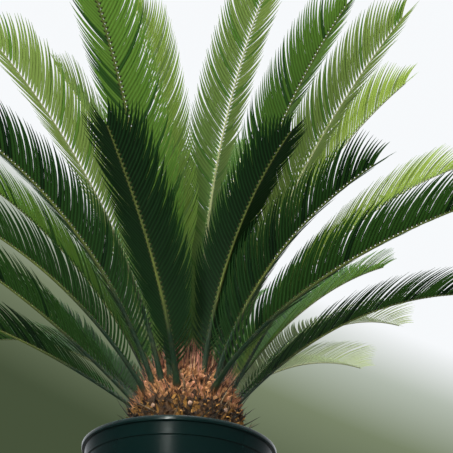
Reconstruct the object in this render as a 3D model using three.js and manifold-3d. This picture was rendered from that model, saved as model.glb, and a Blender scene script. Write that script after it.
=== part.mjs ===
// Sago palm in a nursery pot, in millimetres, +Z up.
// The origin is the centre of the pot's flat underside.

import * as THREE from 'three';
import { mergeVertices } from 'three/addons/utils/BufferGeometryUtils.js';
import Module from 'manifold-3d';

const wasm = await Module();
wasm.setup();

// Clearance between neighbouring pieces, sides of every round piece, the shortest edge that a
// join or cut may leave, and the limits for merged corners and for parallel edges
const GAP = 0.3;
const SIDES = 40;
const TINY_EDGE = 0.02;
const MERGE_DISTANCE = 1e-4;
const PARALLEL = 1e-6;

// Nursery pot
const POT_HEIGHT = 340;
const RIM_RADIUS = 190;
const LIP_HEIGHT = 10;
const LIP_ROUNDING = 2.5;
const SKIRT_TOP_RADIUS = 184;
const SKIRT_FOOT_RADIUS = 181.5;
const SKIRT_DEPTH = 34;
const STEP_HEIGHT = 1;
const BODY_TOP_RADIUS = 178.5;
const BASE_RADIUS = 142;
const FOOT_ROUNDING = 4;
const WALL = 3;
const FLOOR = 5;

// Potting soil
const SOIL_LEVEL = 315;
const SOIL_FALL = 2.5;

// Caudex: a barrel of old leaf bases under a woolly dome
const CAUDEX_OFFSET = 10;
const FOOT_RADIUS = 97;
const SHOULDER_RADIUS = 110;
const SHOULDER_LEVEL = 395;
const DOME_HEIGHT = 108;
const DOME_SQUARENESS = 1.6;
const DOME_BLUNTNESS = 0.64;
const BARREL_ROWS = 6;
const DOME_ROWS = 8;
const BARREL_RELIEF = 6;
const DOME_RELIEF = 2.5;

// Papery scales that stand up among the leaf stalks
const SCALE_COUNT = 46;
const SCALE_HEIGHT = 52;
const SCALE_WIDTH = 11;
const SCALE_THICKNESS = 4;
const SCALE_ROOT = 12;
const SCALE_LEAN_INNER = 6;
const SCALE_LEAN_OUTER = 34;
const SCALE_OUTER_SHARE = 0.7;
const GOLDEN_ANGLE = 137.508;

// Frond: a stalk that carries two rows of narrow leaflets in a shallow V
const STALK_WIDTH = 12;
const STALK_DEPTH = 10;
const RIB_TIP_WIDTH = 3;
const RIB_TIP_DEPTH = 2.6;
const STALK_ROOT = 26;
const CUTTER_SWELL = 0.45;
const DROOP_POWER = 1.3;
const TURN_POWER = 3;
const BARE_SHARE = 0.13;
const BARE_STEPS = 3;
const LEAFLET_PITCH = 32;
const LEAFLET_LENGTH = 134;
const LEAFLET_FIRST_SHARE = 0.55;
const LEAFLET_LAST_SHARE = 0.45;
const LEAFLET_FULL_FROM = 0.22;
const LEAFLET_FULL_TO = 0.8;
const LEAFLET_ANGLE_FOOT = 37;
const LEAFLET_ANGLE_TIP = 18;
const LEAFLET_ANGLE_POWER = 12;
const V_ANGLE = 27;
const SHORTEST_LEAFLET = 0.22;
const CUT_STEP = 0.06;

// How far out on the dome a frond is seated, from its rise above level
const SEAT_RING = 98;
const SEAT_RING_DRAW = 50;
const SEAT_LOW_RISE = 38;
const SEAT_RISE_SPAN = 55;

// Each frond: heading of its tip and azimuth of its seat (0 is +X, 90 is +Y), its rise above
// level at the seat, how far it droops towards the tip, its length along the rib, and, on a
// frond with short leaflets, the share of a full leaflet that they have
const INNER_FRONDS = [
  { heading: 303, seat: 355, rise: 97, droop: 45, length: 1007 },
  { heading: 70, seat: 72, rise: 80, droop: 24, length: 905 },
  { heading: 112, seat: 115, rise: 83, droop: 25, length: 905 },
  { heading: 167, seat: 165, rise: 83, droop: 28, length: 900 },
  { heading: 207, seat: 200, rise: 91, droop: 21, length: 920 },
  { heading: 300, seat: 293, rise: 77, droop: 54, length: 536, leaf: 0.76 },
  { heading: 322, seat: 330, rise: 84, droop: 35, length: 906 },
];
const MIDDLE_FRONDS = [
  { heading: -12, seat: 8, rise: 77, droop: 34, length: 877 },
  { heading: 11, seat: 20, rise: 67, droop: 37, length: 895 },
  { heading: 92, seat: 92, rise: 70, droop: 28, length: 895 },
  { heading: 118, seat: 103, rise: 64, droop: 26, length: 890 },
  { heading: 170, seat: 127, rise: 63, droop: 28, length: 860 },
  { heading: 216, seat: 236, rise: 63, droop: 30, length: 777 },
  { heading: 338, seat: 307, rise: 67, droop: 37, length: 564 },
  { heading: 324, seat: 320, rise: 71, droop: 27, length: 871 },
  { heading: 246, seat: 248, rise: 65, droop: 34, length: 933 },
];
const OUTER_FRONDS = [
  { heading: 18, seat: 30, rise: 51, droop: 42, length: 811 },
  { heading: 47, seat: 41, rise: 51, droop: 38, length: 835 },
  { heading: 41, seat: 53, rise: 55, droop: 24, length: 867 },
  { heading: 52, seat: 65, rise: 42, droop: 30, length: 850 },
  { heading: 78, seat: 77, rise: 56, droop: 31, length: 875 },
  { heading: 100, seat: 90, rise: 45, droop: 28, length: 865 },
  { heading: 130, seat: 117, rise: 41, droop: 25, length: 895 },
  { heading: 152, seat: 148, rise: 50, droop: 28, length: 885 },
  { heading: 165, seat: 163, rise: 36, droop: 26, length: 845 },
  { heading: 181, seat: 179, rise: 45, droop: 28, length: 875 },
  { heading: 176, seat: 214, rise: 49, droop: 39, length: 866 },
  { heading: 205, seat: 225, rise: 59, droop: 55, length: 894 },
  { heading: 245, seat: 258, rise: 49, droop: 18, length: 530, leaf: 0.92 },
  { heading: 347, seat: 299, rise: 36, droop: 28, length: 881 },
];

const POT_FINISH = { color: 0x0a2022, roughness: 0.38, metalness: 0 };
const SOIL_FINISH = { color: 0x33251a, roughness: 0.95, metalness: 0 };
const CAUDEX_FINISH = { color: 0x8a5a33, roughness: 0.9, metalness: 0 };
const FROND_FINISH = { color: 0x2c5a26, roughness: 0.5, metalness: 0 };

const radians = THREE.MathUtils.degToRad;
const mix = THREE.MathUtils.lerp;

function named(name, geometry, finish) {
  const mesh = new THREE.Mesh(geometry, new THREE.MeshStandardMaterial(finish));
  mesh.name = name;
  return mesh;
}

function lathed(profile) {
  const outline = profile.map(([radius, level]) => new THREE.Vector2(radius, level));
  return new THREE.LatheGeometry(outline, SIDES).rotateX(Math.PI / 2);
}

// Solids are joined and cut as manifolds, from geometry whose shared corners are merged
function toSolid(geometry) {
  const bare = geometry.clone();
  bare.deleteAttribute('normal');
  bare.deleteAttribute('uv');
  const merged = mergeVertices(bare, MERGE_DISTANCE);
  const vertProperties = new Float32Array(merged.attributes.position.array);
  const triVerts = new Uint32Array(merged.index.array);
  return new wasm.Manifold(new wasm.Mesh({ numProp: 3, vertProperties, triVerts }));
}

// Edges too short to matter, which joins and cuts leave behind, are taken up
function toGeometry(solid) {
  const { vertProperties, triVerts } = solid.simplify(TINY_EDGE).getMesh();
  const geometry = new THREE.BufferGeometry();
  geometry.setAttribute('position', new THREE.BufferAttribute(vertProperties, 3));
  geometry.setIndex(new THREE.BufferAttribute(triVerts, 1));
  return geometry;
}

function largestBody(solid) {
  return solid.decompose().reduce((best, body) => (body.volume() > best.volume() ? body : best));
}

// Pot: a tapered body, a shallow skirt under the lip, and a rounded lip
function potGeometry() {
  const skirtFoot = POT_HEIGHT - SKIRT_DEPTH;
  const lipFoot = POT_HEIGHT - LIP_HEIGHT;
  return lathed([
    [0, 0],
    [BASE_RADIUS - FOOT_ROUNDING, 0],
    [BASE_RADIUS, FOOT_ROUNDING],
    [BODY_TOP_RADIUS, skirtFoot],
    [SKIRT_FOOT_RADIUS, skirtFoot + STEP_HEIGHT],
    [SKIRT_TOP_RADIUS, lipFoot],
    [RIM_RADIUS - STEP_HEIGHT, lipFoot],
    [RIM_RADIUS, lipFoot + LIP_ROUNDING],
    [RIM_RADIUS, POT_HEIGHT - LIP_ROUNDING],
    [RIM_RADIUS - LIP_ROUNDING, POT_HEIGHT],
    [RIM_RADIUS - 2 * LIP_ROUNDING, POT_HEIGHT],
    [SKIRT_TOP_RADIUS - WALL, POT_HEIGHT - LIP_ROUNDING],
    [BODY_TOP_RADIUS - WALL, skirtFoot],
    [BASE_RADIUS - WALL, FLOOR],
    [0, FLOOR],
  ]);
}

// Inner radius of the pot's wall at a level below the skirt or inside it
function potInside(level) {
  const skirtFoot = POT_HEIGHT - SKIRT_DEPTH;
  if (level <= skirtFoot) {
    const share = (level - FLOOR) / (skirtFoot - FLOOR);
    return mix(BASE_RADIUS, BODY_TOP_RADIUS, share) - WALL;
  }
  const share = (level - skirtFoot) / (SKIRT_DEPTH - LIP_ROUNDING);
  return mix(BODY_TOP_RADIUS, SKIRT_TOP_RADIUS, share) - WALL;
}

function soilGeometry() {
  const foot = FLOOR + GAP;
  const bend = POT_HEIGHT - SKIRT_DEPTH;
  const edge = SOIL_LEVEL - SOIL_FALL;
  return lathed([
    [0, foot],
    [potInside(foot) - 2 * GAP, foot],
    [potInside(bend) - 2 * GAP, bend],
    [potInside(edge) - 2 * GAP, edge],
    [SHOULDER_RADIUS + 2 * CAUDEX_OFFSET, SOIL_LEVEL],
    [0, SOIL_LEVEL],
  ]);
}

function domeLevel(radius) {
  const share = Math.min(radius / SHOULDER_RADIUS, 1);
  const height = (1 - share ** DOME_SQUARENESS) ** DOME_BLUNTNESS;
  return SHOULDER_LEVEL + DOME_HEIGHT * height;
}

// Levels of the caudex from its cut foot to its apex, each with its radius
function caudexProfile(swell) {
  const foot = SOIL_LEVEL + GAP - swell;
  const rows = [[0, foot], [FOOT_RADIUS + swell, foot]];
  for (let row = 1; row < BARREL_ROWS; row += 1) {
    const share = row / BARREL_ROWS;
    const radius = mix(FOOT_RADIUS, SHOULDER_RADIUS, Math.sin(share * Math.PI / 2));
    rows.push([radius + swell, mix(foot, SHOULDER_LEVEL, share)]);
  }
  for (let row = 0; row < DOME_ROWS; row += 1) {
    const radius = SHOULDER_RADIUS * Math.cos(row / DOME_ROWS * Math.PI / 2);
    rows.push([radius + swell * radius / SHOULDER_RADIUS, domeLevel(radius) + swell]);
  }
  rows.push([0, SHOULDER_LEVEL + DOME_HEIGHT + swell]);
  return rows;
}

// Caudex: a lathed body, in which every second corner of every second row stands out as a
// leaf base does, in staggered rows. A swell gives the same body, that much larger all over.
function caudexGeometry(swell) {
  const profile = caudexProfile(swell);
  const geometry = lathed(profile);
  const position = geometry.attributes.position;
  const point = new THREE.Vector3();
  for (let i = 0; i < position.count; i += 1) {
    const row = i % profile.length;
    const side = Math.floor(i / profile.length) % SIDES;
    point.fromBufferAttribute(position, i);
    const onWall = row > 1 && row < profile.length - 1;
    const onKnob = onWall && row % 2 === 1 && (side + (row - 1) / 2) % 2 === 0;
    const height = THREE.MathUtils.smoothstep(point.z, SHOULDER_LEVEL, SHOULDER_LEVEL + DOME_HEIGHT);
    const relief = mix(BARREL_RELIEF, DOME_RELIEF, height);
    const stretch = onKnob ? 1 + relief / Math.hypot(point.x, point.y) : 1;
    position.setXYZ(i, point.x * stretch + CAUDEX_OFFSET, point.y * stretch, point.z);
  }
  return geometry;
}

// A piece of a frond is convex, and is known by its corners and by the triangles between them
function convexPiece(corners, faces) {
  const normals = [];
  const edges = [];
  for (const [a, b, c] of faces) {
    const along = corners[b].clone().sub(corners[a]);
    const across = corners[c].clone().sub(corners[a]);
    normals.push(along.clone().cross(across).normalize());
    edges.push(along, across);
  }
  const box = new THREE.Box3().setFromPoints(corners).expandByScalar(GAP);
  return { corners, normals, edges, box };
}

function span(corners, axis) {
  let low = Infinity;
  let high = -Infinity;
  for (const corner of corners) {
    const at = corner.dot(axis);
    low = Math.min(low, at);
    high = Math.max(high, at);
  }
  return [low, high];
}

function partedAlong(a, b, axis) {
  const [lowA, highA] = span(a.corners, axis);
  const [lowB, highB] = span(b.corners, axis);
  return lowA - highB >= GAP || lowB - highA >= GAP;
}

// Two convex pieces are parted where some axis shows at least the gap between them
function parted(a, b) {
  if (!a.box.intersectsBox(b.box)) return true;
  if (a.normals.some((axis) => partedAlong(a, b, axis))) return true;
  if (b.normals.some((axis) => partedAlong(a, b, axis))) return true;
  const axis = new THREE.Vector3();
  for (const edgeA of a.edges) {
    for (const edgeB of b.edges) {
      axis.crossVectors(edgeA, edgeB);
      if (axis.lengthSq() > PARALLEL && partedAlong(a, b, axis.normalize())) return true;
    }
  }
  return false;
}

function seatRing(rise) {
  const share = Math.max(0, (rise - SEAT_LOW_RISE) / SEAT_RISE_SPAN);
  return SEAT_RING - SEAT_RING_DRAW * share ** 2;
}

function seatPoint(seat, rise) {
  const ring = seatRing(rise);
  const angle = radians(seat);
  const x = CAUDEX_OFFSET + ring * Math.cos(angle);
  return new THREE.Vector3(x, ring * Math.sin(angle), domeLevel(ring));
}

// Direction along the rib, its left-hand side and its upper face, at a share of its length
function frameAt(frond, share) {
  const angle = radians(frond.rise - frond.droop * Math.max(share, 0) ** DROOP_POWER);
  const turn = (frond.seat - frond.heading) * (1 - Math.max(share, 0)) ** TURN_POWER;
  const heading = radians(frond.heading + turn);
  const out = new THREE.Vector3(Math.cos(heading), Math.sin(heading), 0);
  const along = out.clone().multiplyScalar(Math.cos(angle)).setZ(Math.sin(angle));
  const upper = out.clone().multiplyScalar(-Math.sin(angle)).setZ(Math.cos(angle));
  const left = new THREE.Vector3(-Math.sin(heading), Math.cos(heading), 0);
  return { along, upper, left };
}

// Shares of the rib's length at which its cross-sections stand, from the root to the tip
function stationShares(frond) {
  const shares = [-STALK_ROOT / frond.length];
  for (let step = 0; step < BARE_STEPS; step += 1) {
    shares.push(BARE_SHARE * step / BARE_STEPS);
  }
  const pairs = Math.round((1 - BARE_SHARE) * frond.length / LEAFLET_PITCH);
  for (let pair = 0; pair <= pairs; pair += 1) {
    shares.push(mix(BARE_SHARE, 1, pair / pairs));
  }
  return shares;
}

// Cross-sections of the rib, with corners in the order left-top, left-foot, right-foot, right-top
function ribStations(frond) {
  const shares = stationShares(frond);
  const centre = seatPoint(frond.seat, frond.rise);
  centre.addScaledVector(frameAt(frond, 0).along, shares[0] * frond.length);
  return shares.map((share, i) => {
    if (i > 0) {
      const before = shares[i - 1];
      const { along } = frameAt(frond, (before + share) / 2);
      centre.addScaledVector(along, (share - before) * frond.length);
    }
    const frame = frameAt(frond, share);
    const half = mix(STALK_WIDTH, RIB_TIP_WIDTH, Math.max(share, 0)) / 2;
    const rise = mix(STALK_DEPTH, RIB_TIP_DEPTH, Math.max(share, 0)) / 2;
    const corner = (left, upper) => centre.clone()
      .addScaledVector(frame.left, left * half)
      .addScaledVector(frame.upper, upper * rise);
    return { share, frame, corners: [corner(1, 1), corner(1, -1), corner(-1, -1), corner(-1, 1)] };
  });
}

// Length of a full leaflet: short above the bare stalk, then full, and shorter again at the tip
function leafletLength(share) {
  const place = (share - BARE_SHARE) / (1 - BARE_SHARE);
  const opening = mix(LEAFLET_FIRST_SHARE, 1, THREE.MathUtils.smoothstep(place, 0, LEAFLET_FULL_FROM));
  const closing = mix(1, LEAFLET_LAST_SHARE, THREE.MathUtils.smoothstep(place, LEAFLET_FULL_TO, 1));
  return LEAFLET_LENGTH * opening * closing;
}

const LEAFLET_FACES = [[0, 1, 4], [1, 2, 4], [2, 3, 4], [3, 0, 4], [0, 2, 1]];
const RIB_FACES = [[0, 4, 5], [1, 5, 6], [2, 6, 7], [3, 7, 4], [0, 1, 2], [4, 6, 5]];

// A leaflet's root is a side of the rib between two cross-sections, and its tip is one point
class Leaflet {
  constructor(foot, head, side, size) {
    const [top, bottom] = side > 0 ? [0, 1] : [3, 2];
    this.root = [foot.corners[top], head.corners[top], head.corners[bottom], foot.corners[bottom]];
    this.middle = new THREE.Vector3();
    this.root.forEach((corner) => this.middle.addScaledVector(corner, 1 / 4));
    const share = (foot.share + head.share) / 2;
    const place = (share - BARE_SHARE) / (1 - BARE_SHARE);
    const angle = radians(mix(LEAFLET_ANGLE_FOOT, LEAFLET_ANGLE_TIP, place ** LEAFLET_ANGLE_POWER));
    const { along, upper, left } = foot.frame;
    const v = radians(V_ANGLE);
    this.reach = new THREE.Vector3()
      .addScaledVector(along, Math.cos(angle))
      .addScaledVector(left, side * Math.sin(angle) * Math.cos(v))
      .addScaledVector(upper, Math.sin(angle) * Math.sin(v))
      .multiplyScalar(size * leafletLength(share));
    this.cutTo(1);
  }

  tip(kept) {
    return this.middle.clone().addScaledVector(this.reach, kept);
  }

  pieceAt(kept) {
    return convexPiece([...this.root, this.tip(kept)], LEAFLET_FACES);
  }

  // A leaflet that would be too short is left out
  cutTo(kept) {
    this.kept = kept < SHORTEST_LEAFLET ? 0 : kept;
    this.piece = this.kept > 0 ? this.pieceAt(this.kept) : null;
  }

  // The share of this leaflet that clears another piece
  keptBeside(piece) {
    let kept = this.kept;
    while (kept >= SHORTEST_LEAFLET && !parted(this.pieceAt(kept), piece)) kept -= CUT_STEP;
    return kept;
  }
}

class Frond {
  constructor(name, shape) {
    this.name = name;
    this.stations = ribStations(shape);
    this.ribs = [];
    this.leaflets = [];
    const leaf = shape.leaf ?? 1;
    for (let i = 1; i < this.stations.length; i += 1) {
      const foot = this.stations[i - 1];
      const head = this.stations[i];
      this.ribs.push(convexPiece([...foot.corners, ...head.corners], RIB_FACES));
      if (foot.share >= BARE_SHARE) {
        this.leaflets.push(new Leaflet(foot, head, 1, leaf), new Leaflet(foot, head, -1, leaf));
      }
    }
    this.box = new THREE.Box3();
    this.leaflets.forEach((leaflet) => this.box.union(leaflet.piece.box));
    this.ribs.forEach((rib) => this.box.union(rib.box));
  }

  // One closed mesh: the rib's sides, left, foot, right and top in turn, with a pyramid on the
  // left and on the right wherever a leaflet grows
  geometry() {
    const corners = this.stations.flatMap((station) => station.corners);
    const faces = [];
    const last = this.stations.length - 1;
    const end = 4 * last;
    faces.push([0, 1, 2], [0, 2, 3]);
    faces.push([end, end + 2, end + 1], [end, end + 3, end + 2]);
    const bareSteps = last - this.leaflets.length / 2;
    for (let i = 0; i < last; i += 1) {
      const at = 4 * i;
      const first = 2 * (i - bareSteps);
      const [leftLeaflet, rightLeaflet] = i < bareSteps ? [] : this.leaflets.slice(first, first + 2);
      const grown = [leftLeaflet, undefined, rightLeaflet, undefined];
      for (let side = 0; side < 4; side += 1) {
        const next = (side + 1) % 4;
        const quad = [at + side, at + next, at + 4 + next, at + 4 + side];
        if (grown[side]?.kept > 0) {
          corners.push(grown[side].tip(grown[side].kept));
          const tip = corners.length - 1;
          quad.forEach((corner, k) => faces.push([corner, tip, quad[(k + 1) % 4]]));
        } else {
          faces.push([quad[0], quad[2], quad[1]], [quad[0], quad[3], quad[2]]);
        }
      }
    }
    const geometry = new THREE.BufferGeometry().setFromPoints(corners);
    geometry.setIndex(faces.flat());
    return geometry;
  }
}

// Where leaflets of two fronds would touch, the one that loses less is cut back
function shareSpace(a, b) {
  if (!a.box.intersectsBox(b.box)) return;
  for (const leaflet of a.leaflets) {
    for (const rib of b.ribs) leaflet.cutTo(leaflet.keptBeside(rib));
  }
  for (const leaflet of b.leaflets) {
    for (const rib of a.ribs) leaflet.cutTo(leaflet.keptBeside(rib));
  }
  for (const one of a.leaflets) {
    for (const other of b.leaflets) {
      if (one.kept > 0 && other.kept > 0 && !parted(one.piece, other.piece)) {
        const keptOne = one.keptBeside(other.piece);
        const keptOther = other.keptBeside(one.piece);
        if (one.kept - keptOne < other.kept - keptOther) one.cutTo(keptOne);
        else other.cutTo(keptOther);
      }
    }
  }
}

function growFronds() {
  const rings = { inner: INNER_FRONDS, middle: MIDDLE_FRONDS, outer: OUTER_FRONDS };
  const fronds = Object.entries(rings).flatMap(([ring, shapes]) => shapes
    .map((shape, i) => new Frond(`${ring}_frond_${i + 1}`, shape)));
  fronds.forEach((one, i) => fronds.slice(i + 1).forEach((other) => shareSpace(one, other)));
  return fronds;
}

const SCALE_FACES = [[0, 3, 1], [1, 3, 2], [2, 3, 0], [0, 1, 2]];

// Papery scales: slim wedges on a spiral over the dome, left out where a leaf stalk stands
function scalePieces(fronds) {
  const stalks = fronds.flatMap((frond) => frond.ribs.slice(0, BARE_STEPS + 1));
  const pieces = [];
  for (let i = 0; i < SCALE_COUNT; i += 1) {
    const azimuth = radians(i * GOLDEN_ANGLE);
    const share = Math.sqrt((i + 1) / SCALE_COUNT);
    const ring = share * (SHOULDER_RADIUS - SCALE_THICKNESS);
    const lean = radians(mix(SCALE_LEAN_INNER, SCALE_LEAN_OUTER, share));
    const out = new THREE.Vector3(Math.cos(azimuth), Math.sin(azimuth), 0);
    const side = new THREE.Vector3(-out.y, out.x, 0);
    const along = out.clone().multiplyScalar(Math.sin(lean)).setZ(Math.cos(lean));
    const foot = out.clone().multiplyScalar(ring).setZ(domeLevel(ring));
    foot.x += CAUDEX_OFFSET;
    const tip = foot.clone().addScaledVector(along, SCALE_HEIGHT * mix(1, SCALE_OUTER_SHARE, share));
    foot.addScaledVector(along, -SCALE_ROOT);
    const corners = [
      foot.clone().addScaledVector(side, SCALE_WIDTH / 2).addScaledVector(out, SCALE_THICKNESS / 2),
      foot.clone().addScaledVector(side, -SCALE_WIDTH / 2).addScaledVector(out, SCALE_THICKNESS / 2),
      foot.clone().addScaledVector(out, -SCALE_THICKNESS / 2),
      tip,
    ];
    const piece = convexPiece(corners, SCALE_FACES);
    if (stalks.every((stalk) => parted(stalk, piece))) pieces.push(piece);
  }
  return pieces;
}

function wedgeSolid(piece) {
  const geometry = new THREE.BufferGeometry().setFromPoints(piece.corners);
  geometry.setIndex(SCALE_FACES.flat());
  return toSolid(geometry);
}

function caudexWithScales(fronds) {
  let body = toSolid(caudexGeometry(0));
  for (const piece of scalePieces(fronds)) body = body.add(wedgeSolid(piece));
  return toGeometry(largestBody(body));
}

// Each stalk's root is cut off just clear of the caudex
function frondGeometry(frond, cutter) {
  return toGeometry(largestBody(toSolid(frond.geometry()).subtract(cutter)));
}

const palm = new THREE.Group();
palm.add(named('nursery_pot', potGeometry(), POT_FINISH));
palm.add(named('potting_soil', soilGeometry(), SOIL_FINISH));

const fronds = growFronds();
palm.add(named('caudex', caudexWithScales(fronds), CAUDEX_FINISH));

const cutter = toSolid(caudexGeometry(CUTTER_SWELL));
for (const frond of fronds) {
  palm.add(named(frond.name, frondGeometry(frond, cutter), FROND_FINISH));
}

export default palm;
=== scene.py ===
"""Sago palm in a round nursery pot, in metres, +Z up.

The origin is the centre of the pot's flat underside. Every solid of the frame is replaced by a
finer piece in the same place: the pot, the potting mix, the caudex with its old scales and wool,
and thirty fronds, each a ribbed stalk with two rows of narrow leaflets.
"""

from __future__ import annotations

import logging
import math
from collections.abc import Callable, Iterator, Sequence
from contextlib import contextmanager
from dataclasses import dataclass, field
from enum import Enum
from typing import Any

import bmesh
import bpy
import numpy as np
from mathutils import Matrix, Vector


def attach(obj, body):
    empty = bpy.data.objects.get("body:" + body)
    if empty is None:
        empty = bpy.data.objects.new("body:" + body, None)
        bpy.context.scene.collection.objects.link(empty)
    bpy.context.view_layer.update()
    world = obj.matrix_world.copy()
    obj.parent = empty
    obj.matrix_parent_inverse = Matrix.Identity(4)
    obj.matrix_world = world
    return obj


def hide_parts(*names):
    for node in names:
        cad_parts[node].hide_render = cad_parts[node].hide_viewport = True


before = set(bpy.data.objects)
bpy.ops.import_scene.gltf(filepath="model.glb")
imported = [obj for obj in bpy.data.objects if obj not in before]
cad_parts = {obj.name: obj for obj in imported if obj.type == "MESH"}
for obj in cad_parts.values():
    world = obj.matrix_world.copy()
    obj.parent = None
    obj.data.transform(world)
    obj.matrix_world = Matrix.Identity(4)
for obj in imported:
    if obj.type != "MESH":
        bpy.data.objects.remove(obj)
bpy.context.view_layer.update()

BODY = "root"
SEED = 4417
GOLDEN_ANGLE = math.radians(137.508)
MERGE_DISTANCE = 1e-5
SMOOTH_ANGLE = 42.0
LEAST_CURL = 1e-3

Colour = tuple[float, float, float]
Point = tuple[float, float, float]
Span = tuple[float, float]
Pair = tuple[float, float]
Stops = Sequence[tuple[float, Colour]]
Outline = list[tuple[float, float]]
Array = np.ndarray

RISE = np.array([0.0, 0.0, 1.0])

log = logging.getLogger("sago_palm")


def mix(low: Any, high: Any, share: Any) -> Any:
    """The value that lies a share of the way from low to high."""
    return low + (high - low) * share


def smooth_step(value: Array, low: float, high: float) -> Array:
    """A soft step from 0 at low to 1 at high."""
    share = np.clip((value - low) / (high - low), 0.0, 1.0)
    return share * share * (3.0 - 2.0 * share)


def unit(vectors: Array) -> Array:
    """The same directions, each of length 1."""
    return vectors / np.linalg.norm(vectors, axis=-1, keepdims=True)


def square_to(vectors: Array, axis: Array) -> Array:
    """Unit vectors, each turned until it is square to its axis."""
    return unit(vectors - np.sum(vectors * axis, axis=-1, keepdims=True) * axis)


def column(values: Array) -> Array:
    """A list of numbers as a column, which scales a list of vectors."""
    return np.asarray(values)[:, None]


class Signal:
    """A number that a material works out from place to place, for use in an expression."""

    def __init__(self, graph: Graph, socket: bpy.types.NodeSocket) -> None:
        """Wraps a socket of a graph."""
        self.graph = graph
        self.socket = socket

    def _joined(self, operation: str, first: Any, second: Any) -> Signal:
        """The result of a Math node on two values.

        Args:
            operation: the node's operation.
            first: its first value.
            second: its second value.

        Returns:
            The result, as a signal.
        """
        inputs = {0: first, 1: second}
        made = self.graph.node("ShaderNodeMath", {"operation": operation}, inputs)
        return Signal(self.graph, made.outputs[0])

    def __add__(self, other: Any) -> Signal:
        """This value plus another."""
        return self._joined("ADD", self, other)

    __radd__ = __add__

    def __sub__(self, other: Any) -> Signal:
        """This value less another."""
        return self._joined("SUBTRACT", self, other)

    def __rsub__(self, other: Any) -> Signal:
        """Another value less this one."""
        return self._joined("SUBTRACT", other, self)

    def __mul__(self, other: Any) -> Signal:
        """This value times another."""
        return self._joined("MULTIPLY", self, other)

    __rmul__ = __mul__

    def __abs__(self) -> Signal:
        """This value without its sign."""
        return self._joined("ABSOLUTE", self, 0.0)

    def step(self, low: float, high: float) -> Signal:
        """A soft step of this value.

        Args:
            low: the value below which it is 0.
            high: the value above which it is 1.

        Returns:
            The step, as a signal.
        """
        settings = {"interpolation_type": "SMOOTHSTEP"}
        made = self.graph.node("ShaderNodeMapRange", settings, {0: self, 1: low, 2: high})
        return Signal(self.graph, made.outputs[0])


class Graph:
    """A node tree, filled node by node."""

    def __init__(self, tree: bpy.types.NodeTree) -> None:
        """Takes up a tree and empties it."""
        self.tree = tree
        self.tree.nodes.clear()

    def node(
        self,
        kind: str,
        settings: dict[str, Any] | None = None,
        inputs: dict[str | int, Any] | None = None,
    ) -> bpy.types.Node:
        """Makes a node.

        Args:
            kind: the node's type.
            settings: its properties, and under "stops" the stops of a colour ramp.
            inputs: the values or links of its sockets, by name or number.

        Returns:
            The new node.
        """
        made = self.tree.nodes.new(kind)
        for name, value in (settings or {}).items():
            if name == "stops":
                self._fill_ramp(made.color_ramp, value)
            else:
                setattr(made, name, value)
        for key, value in (inputs or {}).items():
            source = value.socket if isinstance(value, Signal) else value
            if isinstance(source, bpy.types.NodeSocket):
                self.tree.links.new(source, made.inputs[key])
            else:
                made.inputs[key].default_value = source
        return made

    @staticmethod
    def _fill_ramp(ramp: bpy.types.ColorRamp, stops: Stops) -> None:
        """Gives a ramp its stops, each a position and a colour.

        Args:
            ramp: the ramp, as it is when new.
            stops: its positions and colours, in order.
        """
        ramp.elements.remove(ramp.elements[-1])
        first, *rest = stops
        ramp.elements[0].position = first[0]
        ramp.elements[0].color = (*first[1], 1.0)
        for position, colour in rest:
            ramp.elements.new(position).color = (*colour, 1.0)

    def axis(self, place: bpy.types.NodeSocket, index: int) -> Signal:
        """One of the three numbers of a place or direction."""
        parts = self.node("ShaderNodeSeparateXYZ", inputs={0: place})
        return Signal(self, parts.outputs[index])

    def ramp(self, share: Signal, stops: Stops) -> bpy.types.NodeSocket:
        """A colour read from a ramp."""
        return self.node("ShaderNodeValToRGB", {"stops": stops}, {0: share}).outputs[0]


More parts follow.
